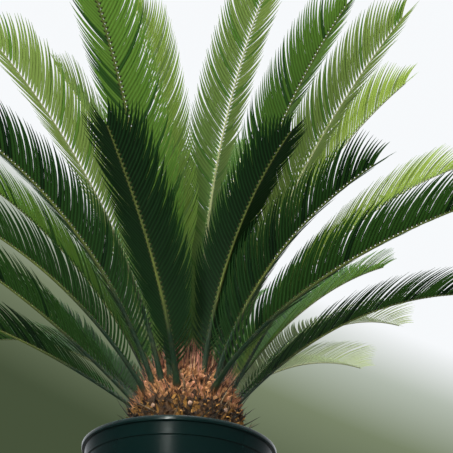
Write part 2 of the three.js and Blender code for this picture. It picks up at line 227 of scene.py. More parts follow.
class Paint(Graph):
    """The graph of one material."""

    def __init__(self, name: str) -> None:
        """Starts a material that reads the place on the object.

        Args:
            name: the material's name.
        """
        self.material = bpy.data.materials.new(name)
        self.material.use_nodes = True
        super().__init__(self.material.node_tree)
        self.place = self.node("ShaderNodeTexCoord").outputs["Object"]

    def noise(
        self,
        grain: float,
        stretch: tuple[float, float, float] = (1.0, 1.0, 1.0),
        detail: float = 4.0,
        place: bpy.types.NodeSocket | None = None,
    ) -> Signal:
        """Cloudy noise.

        Args:
            grain: the size of its blotches, in the units of place.
            stretch: how much finer it is along each axis.
            detail: the number of its finer layers.
            place: the coordinates that it reads, which are the object's unless given.

        Returns:
            A signal between 0 and 1, mostly near a half.
        """
        vector = self.node(
            "ShaderNodeMapping", inputs={"Vector": place or self.place, "Scale": stretch}
        ).outputs[0]
        inputs = {"Vector": vector, "Scale": 1.0 / grain, "Detail": detail, "Roughness": 0.6}
        return Signal(self, self.node("ShaderNodeTexNoise", inputs=inputs).outputs[0])

    def cells(self, grain: float) -> Signal:
        """Rounded cells of a given size, 0 in the middle of each."""
        inputs = {"Vector": self.place, "Scale": 1.0 / grain}
        return Signal(self, self.node("ShaderNodeTexVoronoi", inputs=inputs).outputs["Distance"])

    def strip(self, name: str) -> bpy.types.NodeSocket:
        """The coordinates of the piece's own map."""
        return self.node("ShaderNodeUVMap", {"uv_map": name}).outputs[0]

    def tint(self, share: Any, low: Any, high: Any) -> bpy.types.NodeSocket:
        """A colour between two colours, each given as a colour or a socket.

        Args:
            share: how far it lies from low to high.
            low: the colour at 0.
            high: the colour at 1.

        Returns:
            The colour's socket.
        """
        ends = [(*end, 1.0) if isinstance(end, tuple) else end for end in (low, high)]
        made = self.node("ShaderNodeMix", {"data_type": "RGBA"}, {0: share, 6: ends[0], 7: ends[1]})
        return made.outputs[2]

    def relief(self, height: Signal, depth: float) -> bpy.types.NodeSocket:
        """A normal raised by a height that spans a depth in metres."""
        inputs = {"Height": height, "Distance": depth, "Strength": 1.0}
        return self.node("ShaderNodeBump", inputs=inputs).outputs[0]

    def skin(
        self,
        colour: bpy.types.NodeSocket,
        rough: Signal,
        normal: bpy.types.NodeSocket | None = None,
        reflectance: float = 0.5,
    ) -> bpy.types.NodeSocket:
        """The main shader.

        Args:
            colour: its colour.
            rough: its roughness.
            normal: its normal, if the surface has any relief.
            reflectance: how much it mirrors when seen square on, where 0.5 is usual.

        Returns:
            The shader.
        """
        inputs = {"Base Color": colour, "Roughness": rough, "Specular IOR Level": reflectance}
        if normal is not None:
            inputs["Normal"] = normal
        return self.node("ShaderNodeBsdfPrincipled", inputs=inputs).outputs[0]

    def dried(self, shader: bpy.types.NodeSocket) -> bpy.types.Material:
        """Links a shader to the output and gives the finished material."""
        self.node("ShaderNodeOutputMaterial", inputs={"Surface": shader})
        return self.material


def shaded(colour: Colour, factor: float) -> Colour:
    """A colour made darker or lighter by a factor."""
    return tuple(channel * factor for channel in colour)


@dataclass(frozen=True)
class PotPlastic:
    """Dark blue-green moulded plastic with a satin surface, fine scuffs and a film of dust."""

    pigment: Colour = (0.0018, 0.0130, 0.0120)
    worn_and_highlight: Colour = (0.0150, 0.0460, 0.0470)
    dust: Colour = (0.0800, 0.0860, 0.0780)
    blotch_grain: float = 0.055
    scuff_grain: float = 0.010
    speck_grain: float = 0.0035
    wear_and_highlight_from: float = 0.3363
    wear_and_highlight_to: float = 0.3397
    film_cover: float = 0.06
    rough: float = 0.13
    worn_rough: float = 0.22
    depth: float = 0.00013
    reflectance: float = 0.26

    def material(self) -> bpy.types.Material:
        """The finished plastic, lighter along the lip, partly from wear and partly as a painted
        highlight.

        Returns:
            The material.
        """
        paint = Paint("pot_plastic")
        blotch = paint.noise(self.blotch_grain)
        scuff = paint.noise(self.scuff_grain, stretch=(0.35, 0.35, 5.0), detail=5.0)
        speck = paint.noise(self.speck_grain)
        # The lighter band along the top of the lip is partly wear and partly a painted highlight on
        # its bead.
        edge = paint.axis(paint.place, 2).step(self.wear_and_highlight_from, self.wear_and_highlight_to)
        wear_and_highlight = edge * (0.35 + speck.step(0.45, 0.62) * 0.65)
        film = blotch.step(0.50, 0.74) * self.film_cover + scuff.step(0.60, 0.72) * self.film_cover
        plastic = paint.tint(wear_and_highlight, self.pigment, self.worn_and_highlight)
        colour = paint.tint(film * speck.step(0.30, 0.60), plastic, self.dust)
        rough = self.rough + blotch * 0.05 + scuff * 0.07 + wear_and_highlight * self.worn_rough
        normal = paint.relief(scuff * 0.6 + speck * 0.4, self.depth)
        return paint.dried(paint.skin(colour, rough, normal, self.reflectance))


@dataclass(frozen=True)
class PottingMix:
    """Dark crumbly mix of bark and fibre."""

    wet: Colour = (0.014, 0.009, 0.006)
    dry: Colour = (0.085, 0.052, 0.030)
    crumb_grain: float = 0.006
    patch_grain: float = 0.040
    cell_grain: float = 0.004
    rough: float = 0.80
    depth: float = 0.0018

    def material(self) -> bpy.types.Material:
        """The finished mix.

        Returns:
            The material.
        """
        paint = Paint("potting_mix")
        crumb = paint.noise(self.crumb_grain, detail=6.0)
        patch = paint.noise(self.patch_grain)
        colour = paint.tint(crumb.step(0.40, 0.68) * (0.35 + patch * 0.9), self.wet, self.dry)
        normal = paint.relief(crumb + paint.cells(self.cell_grain) * 0.5, self.depth)
        return paint.dried(paint.skin(colour, self.rough + crumb * 0.2, normal))


@dataclass(frozen=True)
class DryTissue:
    """Dead woolly or papery tissue: streaks along fibres, with dark blotches of painted shade that
    stand for its folds.
    """

    name: str
    colour: Colour
    fold_shade: Colour
    grain: float = 0.0030
    patch_grain: float = 0.014
    rough: float = 0.82
    depth: float = 0.0009

    def material(self) -> bpy.types.Material:
        """The finished tissue.

        Returns:
            The material.
        """
        paint = Paint(self.name)
        patch = paint.noise(self.patch_grain)
        fibre = paint.noise(self.grain, stretch=(3.0, 3.0, 0.5), detail=5.0)
        # Blotches of the darker fold colour are painted shade, standing for the dark of the folds.
        share = patch.step(0.30, 0.66) * 0.6 + fibre.step(0.34, 0.66) * 0.4
        colour = paint.tint(share, self.fold_shade, self.colour)
        normal = paint.relief(fibre + patch * 0.5, self.depth)
        return paint.dried(paint.skin(colour, self.rough + fibre * 0.12, normal))


@dataclass(frozen=True)
class StalkSkin:
    """Leaf stalk: brown wool at its foot, then dark green, then the colour of its rib."""

    name: str
    rib: Colour
    wool: Colour = (0.115, 0.052, 0.022)
    green: Colour = (0.012, 0.036, 0.016)
    stain: Colour = (0.10, 0.085, 0.035)
    blotch_grain: float = 0.012
    streak_grain: float = 0.09
    rough: float = 0.40
    depth: float = 0.0005
    reflectance: float = 0.22
    map_name: str = "stalk_strip"

    def material(self) -> bpy.types.Material:
        """The finished stalk.

        Returns:
            The material.
        """
        paint = Paint(self.name)
        strip = paint.strip(self.map_name)
        share = paint.axis(strip, 1)
        blotch = paint.noise(self.blotch_grain)
        streak = paint.noise(self.streak_grain, stretch=(9.0, 1.0, 1.0), detail=3.0, place=strip)
        stops = [
            (0.000, self.wool),
            (0.006, shaded(self.wool, 0.8)),
            (0.022, self.green),
            (0.200, self.green),
            (0.400, self.rib),
            (1.000, self.rib),
        ]
        along = paint.ramp(share + (blotch - 0.5) * 0.02, stops)
        colour = paint.tint(blotch.step(0.42, 0.75) * 0.35, along, self.stain)
        rough = self.rough + blotch * 0.16 + streak * 0.08
        normal = paint.relief(streak + blotch * 0.4, self.depth)
        return paint.dried(paint.skin(colour, rough, normal, self.reflectance))


@dataclass(frozen=True)
class LeafSkin:
    """Leathery satin leaflet that lets some of the light behind it through.

    Its mottles are shades of its colour, and its margins carry painted shade and its midrib a
    painted highlight, all given as factors.
    """

    name: str
    colour: Colour
    glow: Colour
    sheer: float
    dark_mottle: float = 0.80
    light_mottle: float = 1.22
    margin_shade: float = 0.22
    margin_shade_cover: float = 0.85
    midrib_highlight: float = 3.2
    midrib_highlight_cover: float = 0.55
    mottle_grain: float = 0.030
    vein_grain: float = 0.11
    rough: float = 0.66
    depth: float = 0.00025
    reflectance: float = 0.20
    map_name: str = "leaflet_strip"

    def material(self) -> bpy.types.Material:
        """The finished leaflet, with painted shade along its margins and a painted highlight along
        its midrib.

        Returns:
            The material.
        """
        paint = Paint(self.name)
        strip = paint.strip(self.map_name)
        mottle = paint.noise(self.mottle_grain)
        vein = paint.noise(self.vein_grain, stretch=(6.0, 0.5, 1.0), detail=2.0, place=strip)
        aside = abs(paint.axis(strip, 0) - 0.5)
        # The middle carries the midrib's painted highlight, and the edge carries the margins'
        # painted shade.
        middle = 1.0 - aside.step(0.04, 0.16)
        edge = aside.step(0.20, 0.46)
        dark, light = shaded(self.colour, self.dark_mottle), shaded(self.colour, self.light_mottle)
        blade = paint.tint(mottle.step(0.32, 0.68) * 0.7 + vein * 0.3, dark, light)
        blade = paint.tint(edge * self.margin_shade_cover, blade, shaded(self.colour, self.margin_shade))
        colour = paint.tint(middle * self.midrib_highlight_cover, blade, shaded(self.colour, self.midrib_highlight))
        normal = paint.relief(vein + middle * 0.6, self.depth)
        face = paint.skin(colour, self.rough + mottle * 0.14, normal, self.reflectance)
        through = paint.node("ShaderNodeBsdfTranslucent", inputs={"Color": (*self.glow, 1.0)})
        inputs = {0: self.sheer, 1: face, 2: through.outputs[0]}
        return paint.dried(paint.node("ShaderNodeMixShader", inputs=inputs).outputs[0])


@dataclass(frozen=True)
class Stone:
    """Small rounded stones and mineral grains."""

    name: str
    colour: Colour
    fleck: Colour
    grain_size: float = 0.0022
    vein_size: float = 0.007
    rough: float = 0.55
    depth: float = 0.0004

    def material(self) -> bpy.types.Material:
        """The finished stone.

        Returns:
            The material.
        """
        paint = Paint(self.name)
        grain = paint.noise(self.grain_size, detail=5.0)
        vein = paint.noise(self.vein_size)
        colour = paint.tint(grain.step(0.45, 0.62) * 0.5 + vein * 0.3, self.colour, self.fleck)
        normal = paint.relief(grain + vein, self.depth)
        return paint.dried(paint.skin(colour, self.rough + grain * 0.3, normal))


@dataclass(frozen=True)
class StudioCard:
    """Dark grey matt studio board, faintly clouded."""

    name: str
    colour: Colour
    cloudiness: float = 0.97
    cloud_grain: float = 0.30
    rough: float = 0.85

    def material(self) -> bpy.types.Material:
        """The finished board.

        Returns:
            The material.
        """
        paint = Paint(self.name)
        cloud = paint.noise(self.cloud_grain)
        colour = paint.tint(cloud, shaded(self.colour, self.cloudiness), self.colour)
        return paint.dried(paint.skin(colour, self.rough + cloud * 0.1))


@dataclass(frozen=True)
class Palette:
    """Tissues that are dealt out by chance, each with its share of the whole."""

    parts: tuple[tuple[DryTissue, float], ...]

    def materials(self) -> list[bpy.types.Material]:
        """The material of each tissue."""
        return [tissue.material() for tissue, _ in self.parts]

    def dealt(self, count: int, draw: np.random.Generator) -> Array:
        """The number of a tissue for each of a count of copies."""
        shares = [share for _, share in self.parts]
        return draw.choice(len(shares), count, p=shares)


OLD_SCALES = Palette(
    (
        (DryTissue("scale_gold", (0.560, 0.290, 0.066), (0.200, 0.094, 0.020)), 0.30),
        (DryTissue("scale_rust", (0.330, 0.158, 0.036), (0.090, 0.040, 0.011)), 0.22),
        (DryTissue("scale_brown", (0.160, 0.072, 0.022), (0.038, 0.018, 0.007)), 0.16),
        (DryTissue("scale_black", (0.034, 0.020, 0.012), (0.010, 0.006, 0.005)), 0.32),
    )
)
WOOL = Palette(
    (
        (DryTissue("wool_pink", (0.700, 0.330, 0.180), (0.360, 0.140, 0.070)), 0.28),
        (DryTissue("wool_tan", (0.660, 0.350, 0.150), (0.310, 0.135, 0.052)), 0.30),
        (DryTissue("wool_rust", (0.460, 0.205, 0.080), (0.170, 0.070, 0.028)), 0.26),
        (DryTissue("wool_shade", (0.150, 0.062, 0.030), (0.050, 0.020, 0.010)), 0.16),
    )
)
PAPERY_SCALES = Palette(
    (
        (DryTissue("paper_rose", (0.600, 0.260, 0.180), (0.250, 0.095, 0.062)), 0.32),
        (DryTissue("paper_tan", (0.700, 0.420, 0.240), (0.380, 0.190, 0.100)), 0.30),
        (DryTissue("paper_brown", (0.170, 0.070, 0.038), (0.060, 0.024, 0.014)), 0.22),
        (DryTissue("paper_dark", (0.060, 0.030, 0.020), (0.020, 0.010, 0.008)), 0.16),
    )
)
SPINES = Palette(
    (
        (DryTissue("spine_dark", (0.030, 0.028, 0.016), (0.010, 0.010, 0.007), rough=0.5), 0.58),
        (DryTissue("spine_brown", (0.120, 0.062, 0.030), (0.034, 0.018, 0.010), rough=0.5), 0.24),
        (DryTissue("spine_straw", (0.360, 0.250, 0.130), (0.160, 0.100, 0.050), rough=0.5), 0.18),
    )
)
BARK = (
    DryTissue("bark_dark", (0.060, 0.034, 0.020), (0.012, 0.008, 0.006)),
    DryTissue("bark_mid", (0.130, 0.072, 0.038), (0.030, 0.018, 0.010)),
    DryTissue("bark_red", (0.170, 0.078, 0.042), (0.040, 0.018, 0.012)),
)
LOOSE_STONES = (
    Stone("white_grain", (0.62, 0.60, 0.55), (0.40, 0.38, 0.34)),
    Stone("pink_pebble", (0.60, 0.36, 0.27), (0.42, 0.24, 0.18)),
)
LODGED_STONE = Stone("lodged_stone", (0.66, 0.42, 0.30), (0.46, 0.28, 0.19))
CAUDEX_WOOL = DryTissue("caudex_wool", (0.110, 0.052, 0.018), (0.016, 0.008, 0.004), 0.0022)
TEETH = (
    DryTissue("tooth_green", (0.060, 0.085, 0.030), (0.020, 0.036, 0.014), rough=0.4),
    DryTissue("tooth_brown", (0.180, 0.105, 0.048), (0.060, 0.036, 0.018), rough=0.5),
)


class Tone(Enum):
    """How a frond's leaflets look, from the shaded front of the crown to its bright back."""

    # The tones are partly the fronds' own greens and partly painted light and shade: darker copies
    # for fronds in shade at the front, lighter copies for fronds lit by the sky at the back, and
    # PALE a painted hazy sheen.
    SHADED = LeafSkin("leaf_shaded", (0.0058, 0.0270, 0.0056), (0.26, 0.54, 0.14), 0.09)
    DEEP = LeafSkin("leaf_deep", (0.0130, 0.0500, 0.0102), (0.35, 0.58, 0.20), 0.25)
    MID = LeafSkin("leaf_mid", (0.0330, 0.0980, 0.0190), (0.48, 0.66, 0.23), 0.42)
    FRESH = LeafSkin("leaf_fresh", (0.0640, 0.1300, 0.0310), (0.57, 0.67, 0.32), 0.50)
    LIME = LeafSkin("leaf_lime", (0.1080, 0.1880, 0.0350), (0.64, 0.75, 0.32), 0.58)
    PALE = LeafSkin("leaf_pale", (0.2100, 0.2650, 0.1450), (0.78, 0.84, 0.61), 0.58)

    @property
    def bright(self) -> bool:
        """Whether the sky shines through the frond, so that its rib looks pale."""
        return self in (Tone.FRESH, Tone.LIME, Tone.PALE)

    @property
    def darker(self) -> Tone:
        """The next darker tone, or its own where the frond is the darkest or the palest.

        Returns:
            The tone.
        """
        if self is Tone.PALE:
            return self
        return TONE_ORDER[max(TONE_ORDER.index(self) - 1, 0)]


TONE_ORDER = tuple(Tone)
# One rib colour in two copies: olive for fronds in shade, and cream, painted lit, for fronds that
# the sky shines through.
STALKS = (
    StalkSkin("stalk_olive", (0.190, 0.230, 0.050)),
    StalkSkin("stalk_cream_lit", (0.480, 0.500, 0.240)),
)
# Leaflet feet: olive for fronds in shade, and cream for fronds that the sky shines through, partly
# a pale callus and partly a painted glint.
LEAFLET_FEET = (
    LeafSkin("foot_olive", (0.110, 0.140, 0.042), (0.3, 0.3, 0.1), 0.1),
    LeafSkin("foot_cream_glint", (0.400, 0.420, 0.220), (0.5, 0.5, 0.3), 0.2),
)


class Bench:
    """An object that is modelled, with its points picked by their place."""

    def __init__(self, obj: bpy.types.Object) -> None:
        """Takes up an object."""
        self.obj = obj

    @classmethod
    def primitive(cls, add: Callable[..., set[str]], **settings: Any) -> Bench:
        """Adds a primitive, with its place and turn taken into its mesh.

        Args:
            add: the operator that adds it.
            settings: the operator's settings.

        Returns:
            A bench with the new object.
        """
        bpy.ops.object.select_all(action="DESELECT")
        add(**settings)
        bpy.ops.object.transform_apply(location=True, rotation=True, scale=True)
        return cls(bpy.context.view_layer.objects.active)

    @classmethod
    def outline(cls, name: str, outline: Outline) -> Bench:
        """Draws an open outline of radii and levels, in the plane of X and Z.

        Args:
            name: the object's name.
            outline: the radii and levels.

        Returns:
            A bench with the outline.
        """
        mesh = bpy.data.meshes.new(name)
        points = [(radius, 0.0, level) for radius, level in outline]
        mesh.from_pydata(points, [(i, i + 1) for i in range(len(points) - 1)], [])
        obj = bpy.data.objects.new(name, mesh)
        bpy.context.scene.collection.objects.link(obj)
        return cls(obj)

    def take_up(self) -> None:
        """Makes this the only selected object."""
        bpy.ops.object.select_all(action="DESELECT")
        self.obj.select_set(True)
        bpy.context.view_layer.objects.active = self.obj

    @contextmanager
    def editing(self) -> Iterator[None]:
        """Edit mode, for the length of a with statement.

        Returns:
            The context.
        """
        self.take_up()
        bpy.ops.object.mode_set(mode="EDIT")
        yield
        bpy.ops.object.mode_set(mode="OBJECT")

    def pick(self, wanted: Callable[[Vector], bool]) -> None:
        """Selects the points that a test wants, and what lies between them.

        Args:
            wanted: the test of a point's place.
        """
        mesh = bmesh.from_edit_mesh(self.obj.data)
        for vert in mesh.verts:
            vert.select = bool(wanted(vert.co))
        mesh.select_flush_mode()
        bmesh.update_edit_mesh(self.obj.data)

    def pick_row(self, x: float) -> None:
        """Selects the points at a given x."""
        self.pick(lambda place: abs(place.x - x) < MERGE_DISTANCE)

    def cut_rows(self, rows: list[float]) -> None:
        """Cuts the whole mesh across at each of the given x.

        Args:
            rows: where it is cut.
        """
        for x in rows:
            bpy.ops.mesh.select_all(action="SELECT")
            bpy.ops.mesh.bisect(plane_co=(x, 0.0, 0.0), plane_no=(1.0, 0.0, 0.0))

    def size_row(self, x: float, width: float, height: float) -> None:
        """Scales the row at x about the middle line, in width and height."""
        self.pick_row(x)
        bpy.ops.transform.resize(value=(1.0, width, height), center_override=(x, 0.0, 0.0))

    def spin(self, steps: int) -> None:
        """Turns the outline once about the Z axis and closes its seam and poles.

        Args:
            steps: the number of faces round the axis.
        """
        with self.editing():
            bpy.ops.mesh.select_all(action="SELECT")
            bpy.ops.mesh.spin(
                steps=steps, angle=2.0 * math.pi, center=(0.0, 0.0, 0.0), axis=(0.0, 0.0, 1.0)
            )
            bpy.ops.mesh.select_all(action="SELECT")
            bpy.ops.mesh.remove_doubles(threshold=MERGE_DISTANCE)
            bpy.ops.mesh.normals_make_consistent(inside=False)

    def modify(self, kind: str, **settings: Any) -> None:
        """Adds a modifier with its settings and applies it.

        Args:
            kind: the modifier's type.
            settings: its settings.
        """
        made = self.obj.modifiers.new(kind.lower(), kind)
        for name, value in settings.items():
            setattr(made, name, value)
        self.take_up()
        bpy.ops.object.modifier_apply(modifier=made.name)

    def lump(self, name: str, grain: float, depth: float) -> None:
        """Raises and sinks the surface along its normals.

        Args:
            name: the name of the pattern.
            grain: the size of its lumps.
            depth: how far it moves the surface in all.
        """
        texture = bpy.data.textures.new(name, "CLOUDS")
        texture.noise_scale = grain
        self.modify("DISPLACE", texture=texture, strength=depth, mid_level=0.5)

    def finish(self, name: str, materials: list[bpy.types.Material]) -> bpy.types.Object:
        """Names the piece, smooths its soft edges and gives it its materials.

        Args:
            name: the piece's name.
            materials: its material slots.

        Returns:
            The finished piece.
        """
        self.obj.name = name
        self.obj.data.name = name
        self.obj.data.materials.clear()
        for material in materials:
            self.obj.data.materials.append(material)
        self.take_up()
        bpy.ops.object.shade_smooth_by_angle(angle=math.radians(SMOOTH_ANGLE))
        return self.obj


@dataclass(frozen=True)
class Form:
    """A small thing that is modelled once and copied many times.

    Its length runs along x from 0 to 1, its width along y and its height along z.
    """

    points: Array
    faces: list[tuple[int, ...]]

    @classmethod
    def taken_from(cls, bench: Bench) -> Form:
        """Reads the modelled object and puts it away.

        Args:
            bench: the bench that it stands on.

        Returns:
            The form.
        """
        mesh = bench.obj.data
        points = np.empty(len(mesh.vertices) * 3)
        mesh.vertices.foreach_get("co", points)
        faces = [tuple(polygon.vertices) for polygon in mesh.polygons]
        bpy.data.objects.remove(bench.obj)
        bpy.data.meshes.remove(mesh)
        return cls(points.reshape(-1, 3), faces)

    def faces_before(self, x: float) -> Array:
        """Which faces lie wholly before a given x."""
        return np.array([self.points[list(face), 0].max() < x for face in self.faces])

    def laid_out(
        self,
        at: Array,
        along: Array,
        face: Array,
        length: Array,
        width: Array,
        curl: Array,
        bow: Array | None = None,
    ) -> Array:
        """Copies of the form, each laid from its foot along its own direction.

        Args:
            at: the foot of each copy.
            along: its direction at the foot.
            face: its upper side, square to along.
            length: its length.
            width: its width, by which its height is scaled too.
            curl: how far it turns towards its face from foot to tip, in radians.
            bow: how far its middle is pushed aside, as a share of its length times four.

        Returns:
            The points of each copy.
        """
        x, y, z = self.points.T
        curl = np.where(np.abs(curl) < LEAST_CURL, LEAST_CURL, curl)
        turn = column(curl) * x
        run = (np.sin(turn) / column(curl) * column(length))[..., None]
        lift = ((1.0 - np.cos(turn)) / column(curl) * column(length))[..., None]
        side = np.cross(face, along)[:, None]
        along, face = along[:, None], face[:, None]
        normal = np.cos(turn)[..., None] * face - np.sin(turn)[..., None] * along
        points = at[:, None] + run * along + lift * face
        points = points + (column(width) * y)[..., None] * side
        points = points + (column(width) * z)[..., None] * normal
        if bow is not None:
            points = points + (column(length) * (x - x * x))[..., None] * bow[:, None]
        return points


class Flock:
    """Copies of small forms, joined into one mesh."""

    def __init__(self) -> None:
        """Starts with no copies."""
        self.points: list[Array] = []
        self.faces: dict[int, list[Array]] = {}
        self.slots: dict[int, list[Array]] = {}
        self.strips: list[Array] = []
        self.count = 0

    def add(self, form: Form, points: Array, slots: Array, strip: Array | None = None) -> None:
        """Adds copies of a form.

        Args:
            form: the form.
            points: the points of each copy.
            slots: the material slot of each copy, or of each face of each copy.
            strip: the map of the form's points, the same for each copy.
        """
        copies, size, _ = points.shape
        starts = self.count + size * np.arange(copies)[:, None, None]
        per_face = slots if slots.ndim == 2 else np.repeat(column(slots), len(form.faces), 1)
        for sides in {len(face) for face in form.faces}:
            chosen = [i for i, face in enumerate(form.faces) if len(face) == sides]
            corners = np.array([form.faces[i] for i in chosen])
            self.faces.setdefault(sides, []).append((corners + starts).reshape(-1, sides))
            self.slots.setdefault(sides, []).append(per_face[:, chosen].reshape(-1))
        self.points.append(points.reshape(-1, 3))
        if strip is not None:
            self.strips.append(np.tile(strip, (copies, 1)))
        self.count += copies * size

    def piece(
        self, name: str, materials: list[bpy.types.Material], strip_name: str | None = None
    ) -> bpy.types.Object:
        """Joins the copies.

        Args:
            name: the piece's name.
            materials: its material slots.
            strip_name: the name of its map, if its copies were added with one.

        Returns:
            The finished piece.
        """
        faces = [face for group in self.faces.values() for part in group for face in part.tolist()]
        slots = np.concatenate([part for group in self.slots.values() for part in group])
        mesh = bpy.data.meshes.new(name)
        mesh.from_pydata(np.concatenate(self.points).tolist(), [], faces)
        if strip_name:
            corners = np.empty(len(mesh.loops), np.int32)
            mesh.loops.foreach_get("vertex_index", corners)
            strip = np.concatenate(self.strips)[corners]
            mesh.uv_layers.new(name=strip_name).data.foreach_set("uv", strip.ravel())
        mesh.update()
        obj = bpy.data.objects.new(name, mesh)
        bpy.context.scene.collection.objects.link(obj)
        made = Bench(obj).finish(name, materials)
        made.data.polygons.foreach_set("material_index", slots.astype(np.int32))
        return made


# Widths of the small forms at shares of their length, from foot to tip.
OLD_SCALE_WIDTHS = {0.0: 0.7, 0.3: 1.0, 0.65: 0.85, 1.0: 0.3}
WOOL_CURL_WIDTHS = {0.0: 0.7, 0.3: 1.0, 0.65: 0.7, 1.0: 0.15}
PAPERY_SCALE_WIDTHS = {0.0: 1.0, 0.25: 0.95, 0.6: 0.6, 0.85: 0.25, 1.0: 0.05}
SPINE_WIDTHS = {0.3: 0.8, 0.7: 0.5, 1.0: 0.05}
BLADE_WIDTHS = {0.30: 1.12, 0.48: 0.98, 0.66: 0.74, 0.82: 0.47}

SCALE_THICKNESS = 0.07
MARGIN_FROM = 0.2
MIDDLE_WIDTH = 0.01


def crumb_form(seed: int, flatness: float) -> Form:
    """A chip, stone or tuft with uneven sides.

    Args:
        seed: the seed of its unevenness.
        flatness: its height against its width.

    Returns:
        The form.
    """
    bench = Bench.primitive(
        bpy.ops.mesh.primitive_uv_sphere_add,
        segments=8,
        ring_count=6,
        radius=0.5,
        location=(0.5, 0.0, 0.0),
    )
    with bench.editing():
        bpy.ops.mesh.select_all(action="SELECT")
        bpy.ops.transform.vertex_random(offset=0.16, uniform=0.6, normal=0.2, seed=seed)
        bpy.ops.transform.resize(value=(1.0, 1.0, flatness), center_override=(0.5, 0.0, 0.0))
    return Form.taken_from(bench)


def scale_form(widths: dict[float, float], columns: int, cup: float) -> Form:
    """A thin cupped scale.

    Args:
        widths: its width at each share of its length.
        columns: how many faces it is wide.
        cup: how far its margins stand up.

    Returns:
        The form, closed and about a fifteenth as thick as it is wide.
    """
    bench = Bench.primitive(bpy.ops.mesh.primitive_plane_add, size=1.0, location=(0.5, 0.0, 0.0))
    with bench.editing():
        bench.cut_rows([x for x in widths if 0.0 < x < 1.0])
        for i in range(1, columns):
            bpy.ops.mesh.select_all(action="SELECT")
            y = i / columns - 0.5
            bpy.ops.mesh.bisect(plane_co=(0.0, y, 0.0), plane_no=(0.0, 1.0, 0.0))
        for x, width in widths.items():
            bench.size_row(x, width, 1.0)
        bench.pick(lambda place: abs(place.y) > MARGIN_FROM)
        bpy.ops.transform.translate(value=(0.0, 0.0, cup))
    bench.modify("SOLIDIFY", thickness=SCALE_THICKNESS, offset=0.0)
    return Form.taken_from(bench)


def rod_bench(sides: int, radius: float) -> Bench:
    """A rod along x from 0 to 1, with a given number of sides.

    Args:
        sides: the number of its sides.
        radius: its radius.

    Returns:
        A bench with the rod.
    """
    return Bench.primitive(
        bpy.ops.mesh.primitive_cylinder_add,
        vertices=sides,
        radius=radius,
        depth=1.0,
        location=(0.5, 0.0, 0.0),
        rotation=(0.0, math.pi / 2, 0.0),
    )


def spine_form() -> Form:
    """A slim spike with five sides.

    Returns:
        The form.
    """
    bench = rod_bench(5, 0.5)
    with bench.editing():
        bench.cut_rows([x for x in SPINE_WIDTHS if x < 1.0])
        for x, width in SPINE_WIDTHS.items():
            bench.size_row(x, width, width)
    return Form.taken_from(bench)


def seat_piece(piece: bpy.types.Object, slot: str, *nodes: str) -> None:
    """Makes a piece ride on the plant's body and stand for its nodes.

    Args:
        piece: the piece.
        slot: not used.
        nodes: the names of the nodes that it replaces, if any.
    """
    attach(piece, BODY)
    if nodes:
        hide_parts(*nodes)
    log.info("%s: %d faces", piece.name, len(piece.data.polygons))


@dataclass(frozen=True)
class Frond:
    """A frond's posture, in degrees and metres.

    Its tip points to heading and its foot is seated at the azimuth seat, where 0 is +X and 90 is
    +Y. It leaves its seat at rise above level and droops by droop over its length.
    """

    heading: float
    seat: float
    rise: float
    droop: float
    length: float
    tone: Tone
    leaf: float = 1.0


RINGS: dict[str, tuple[Frond, ...]] = {
    "inner": (
        Frond(303, 355, 97, 45, 1.007, Tone.FRESH),
        Frond(70, 72, 80, 24, 0.905, Tone.FRESH),
        Frond(112, 115, 83, 25, 0.905, Tone.FRESH),
        Frond(167, 165, 83, 28, 0.900, Tone.FRESH),
        Frond(207, 200, 91, 21, 0.920, Tone.LIME),
        Frond(300, 293, 77, 54, 0.536, Tone.SHADED, 0.76),
        Frond(322, 330, 84, 35, 0.906, Tone.MID),
    ),
    "middle": (
        Frond(-12, 8, 77, 34, 0.877, Tone.LIME),
        Frond(11, 20, 67, 37, 0.895, Tone.LIME),
        Frond(92, 92, 70, 28, 0.895, Tone.MID),
        Frond(118, 103, 64, 26, 0.890, Tone.MID),
        Frond(170, 127, 63, 28, 0.860, Tone.MID),
        Frond(216, 236, 63, 30, 0.777, Tone.FRESH),
        Frond(338, 307, 67, 37, 0.564, Tone.DEEP),
        Frond(324, 320, 71, 27, 0.871, Tone.FRESH),
        Frond(246, 248, 65, 34, 0.933, Tone.MID),
    ),
    "outer": (
        Frond(18, 30, 51, 42, 0.811, Tone.DEEP),
        Frond(47, 41, 51, 38, 0.835, Tone.PALE),
        Frond(41, 53, 55, 24, 0.867, Tone.MID),
        Frond(52, 65, 42, 30, 0.850, Tone.PALE),
        Frond(78, 77, 56, 31, 0.875, Tone.MID),
        Frond(100, 90, 45, 28, 0.865, Tone.MID),
        Frond(130, 117, 41, 25, 0.895, Tone.DEEP),
        Frond(152, 148, 50, 28, 0.885, Tone.DEEP),
        Frond(165, 163, 36, 26, 0.845, Tone.DEEP),
        Frond(181, 179, 45, 28, 0.875, Tone.DEEP),
        Frond(176, 214, 49, 39, 0.866, Tone.DEEP),
        Frond(205, 225, 59, 55, 0.894, Tone.DEEP),
        Frond(245, 258, 49, 18, 0.530, Tone.SHADED, 0.92),
        Frond(347, 299, 36, 28, 0.881, Tone.DEEP),
    ),
}


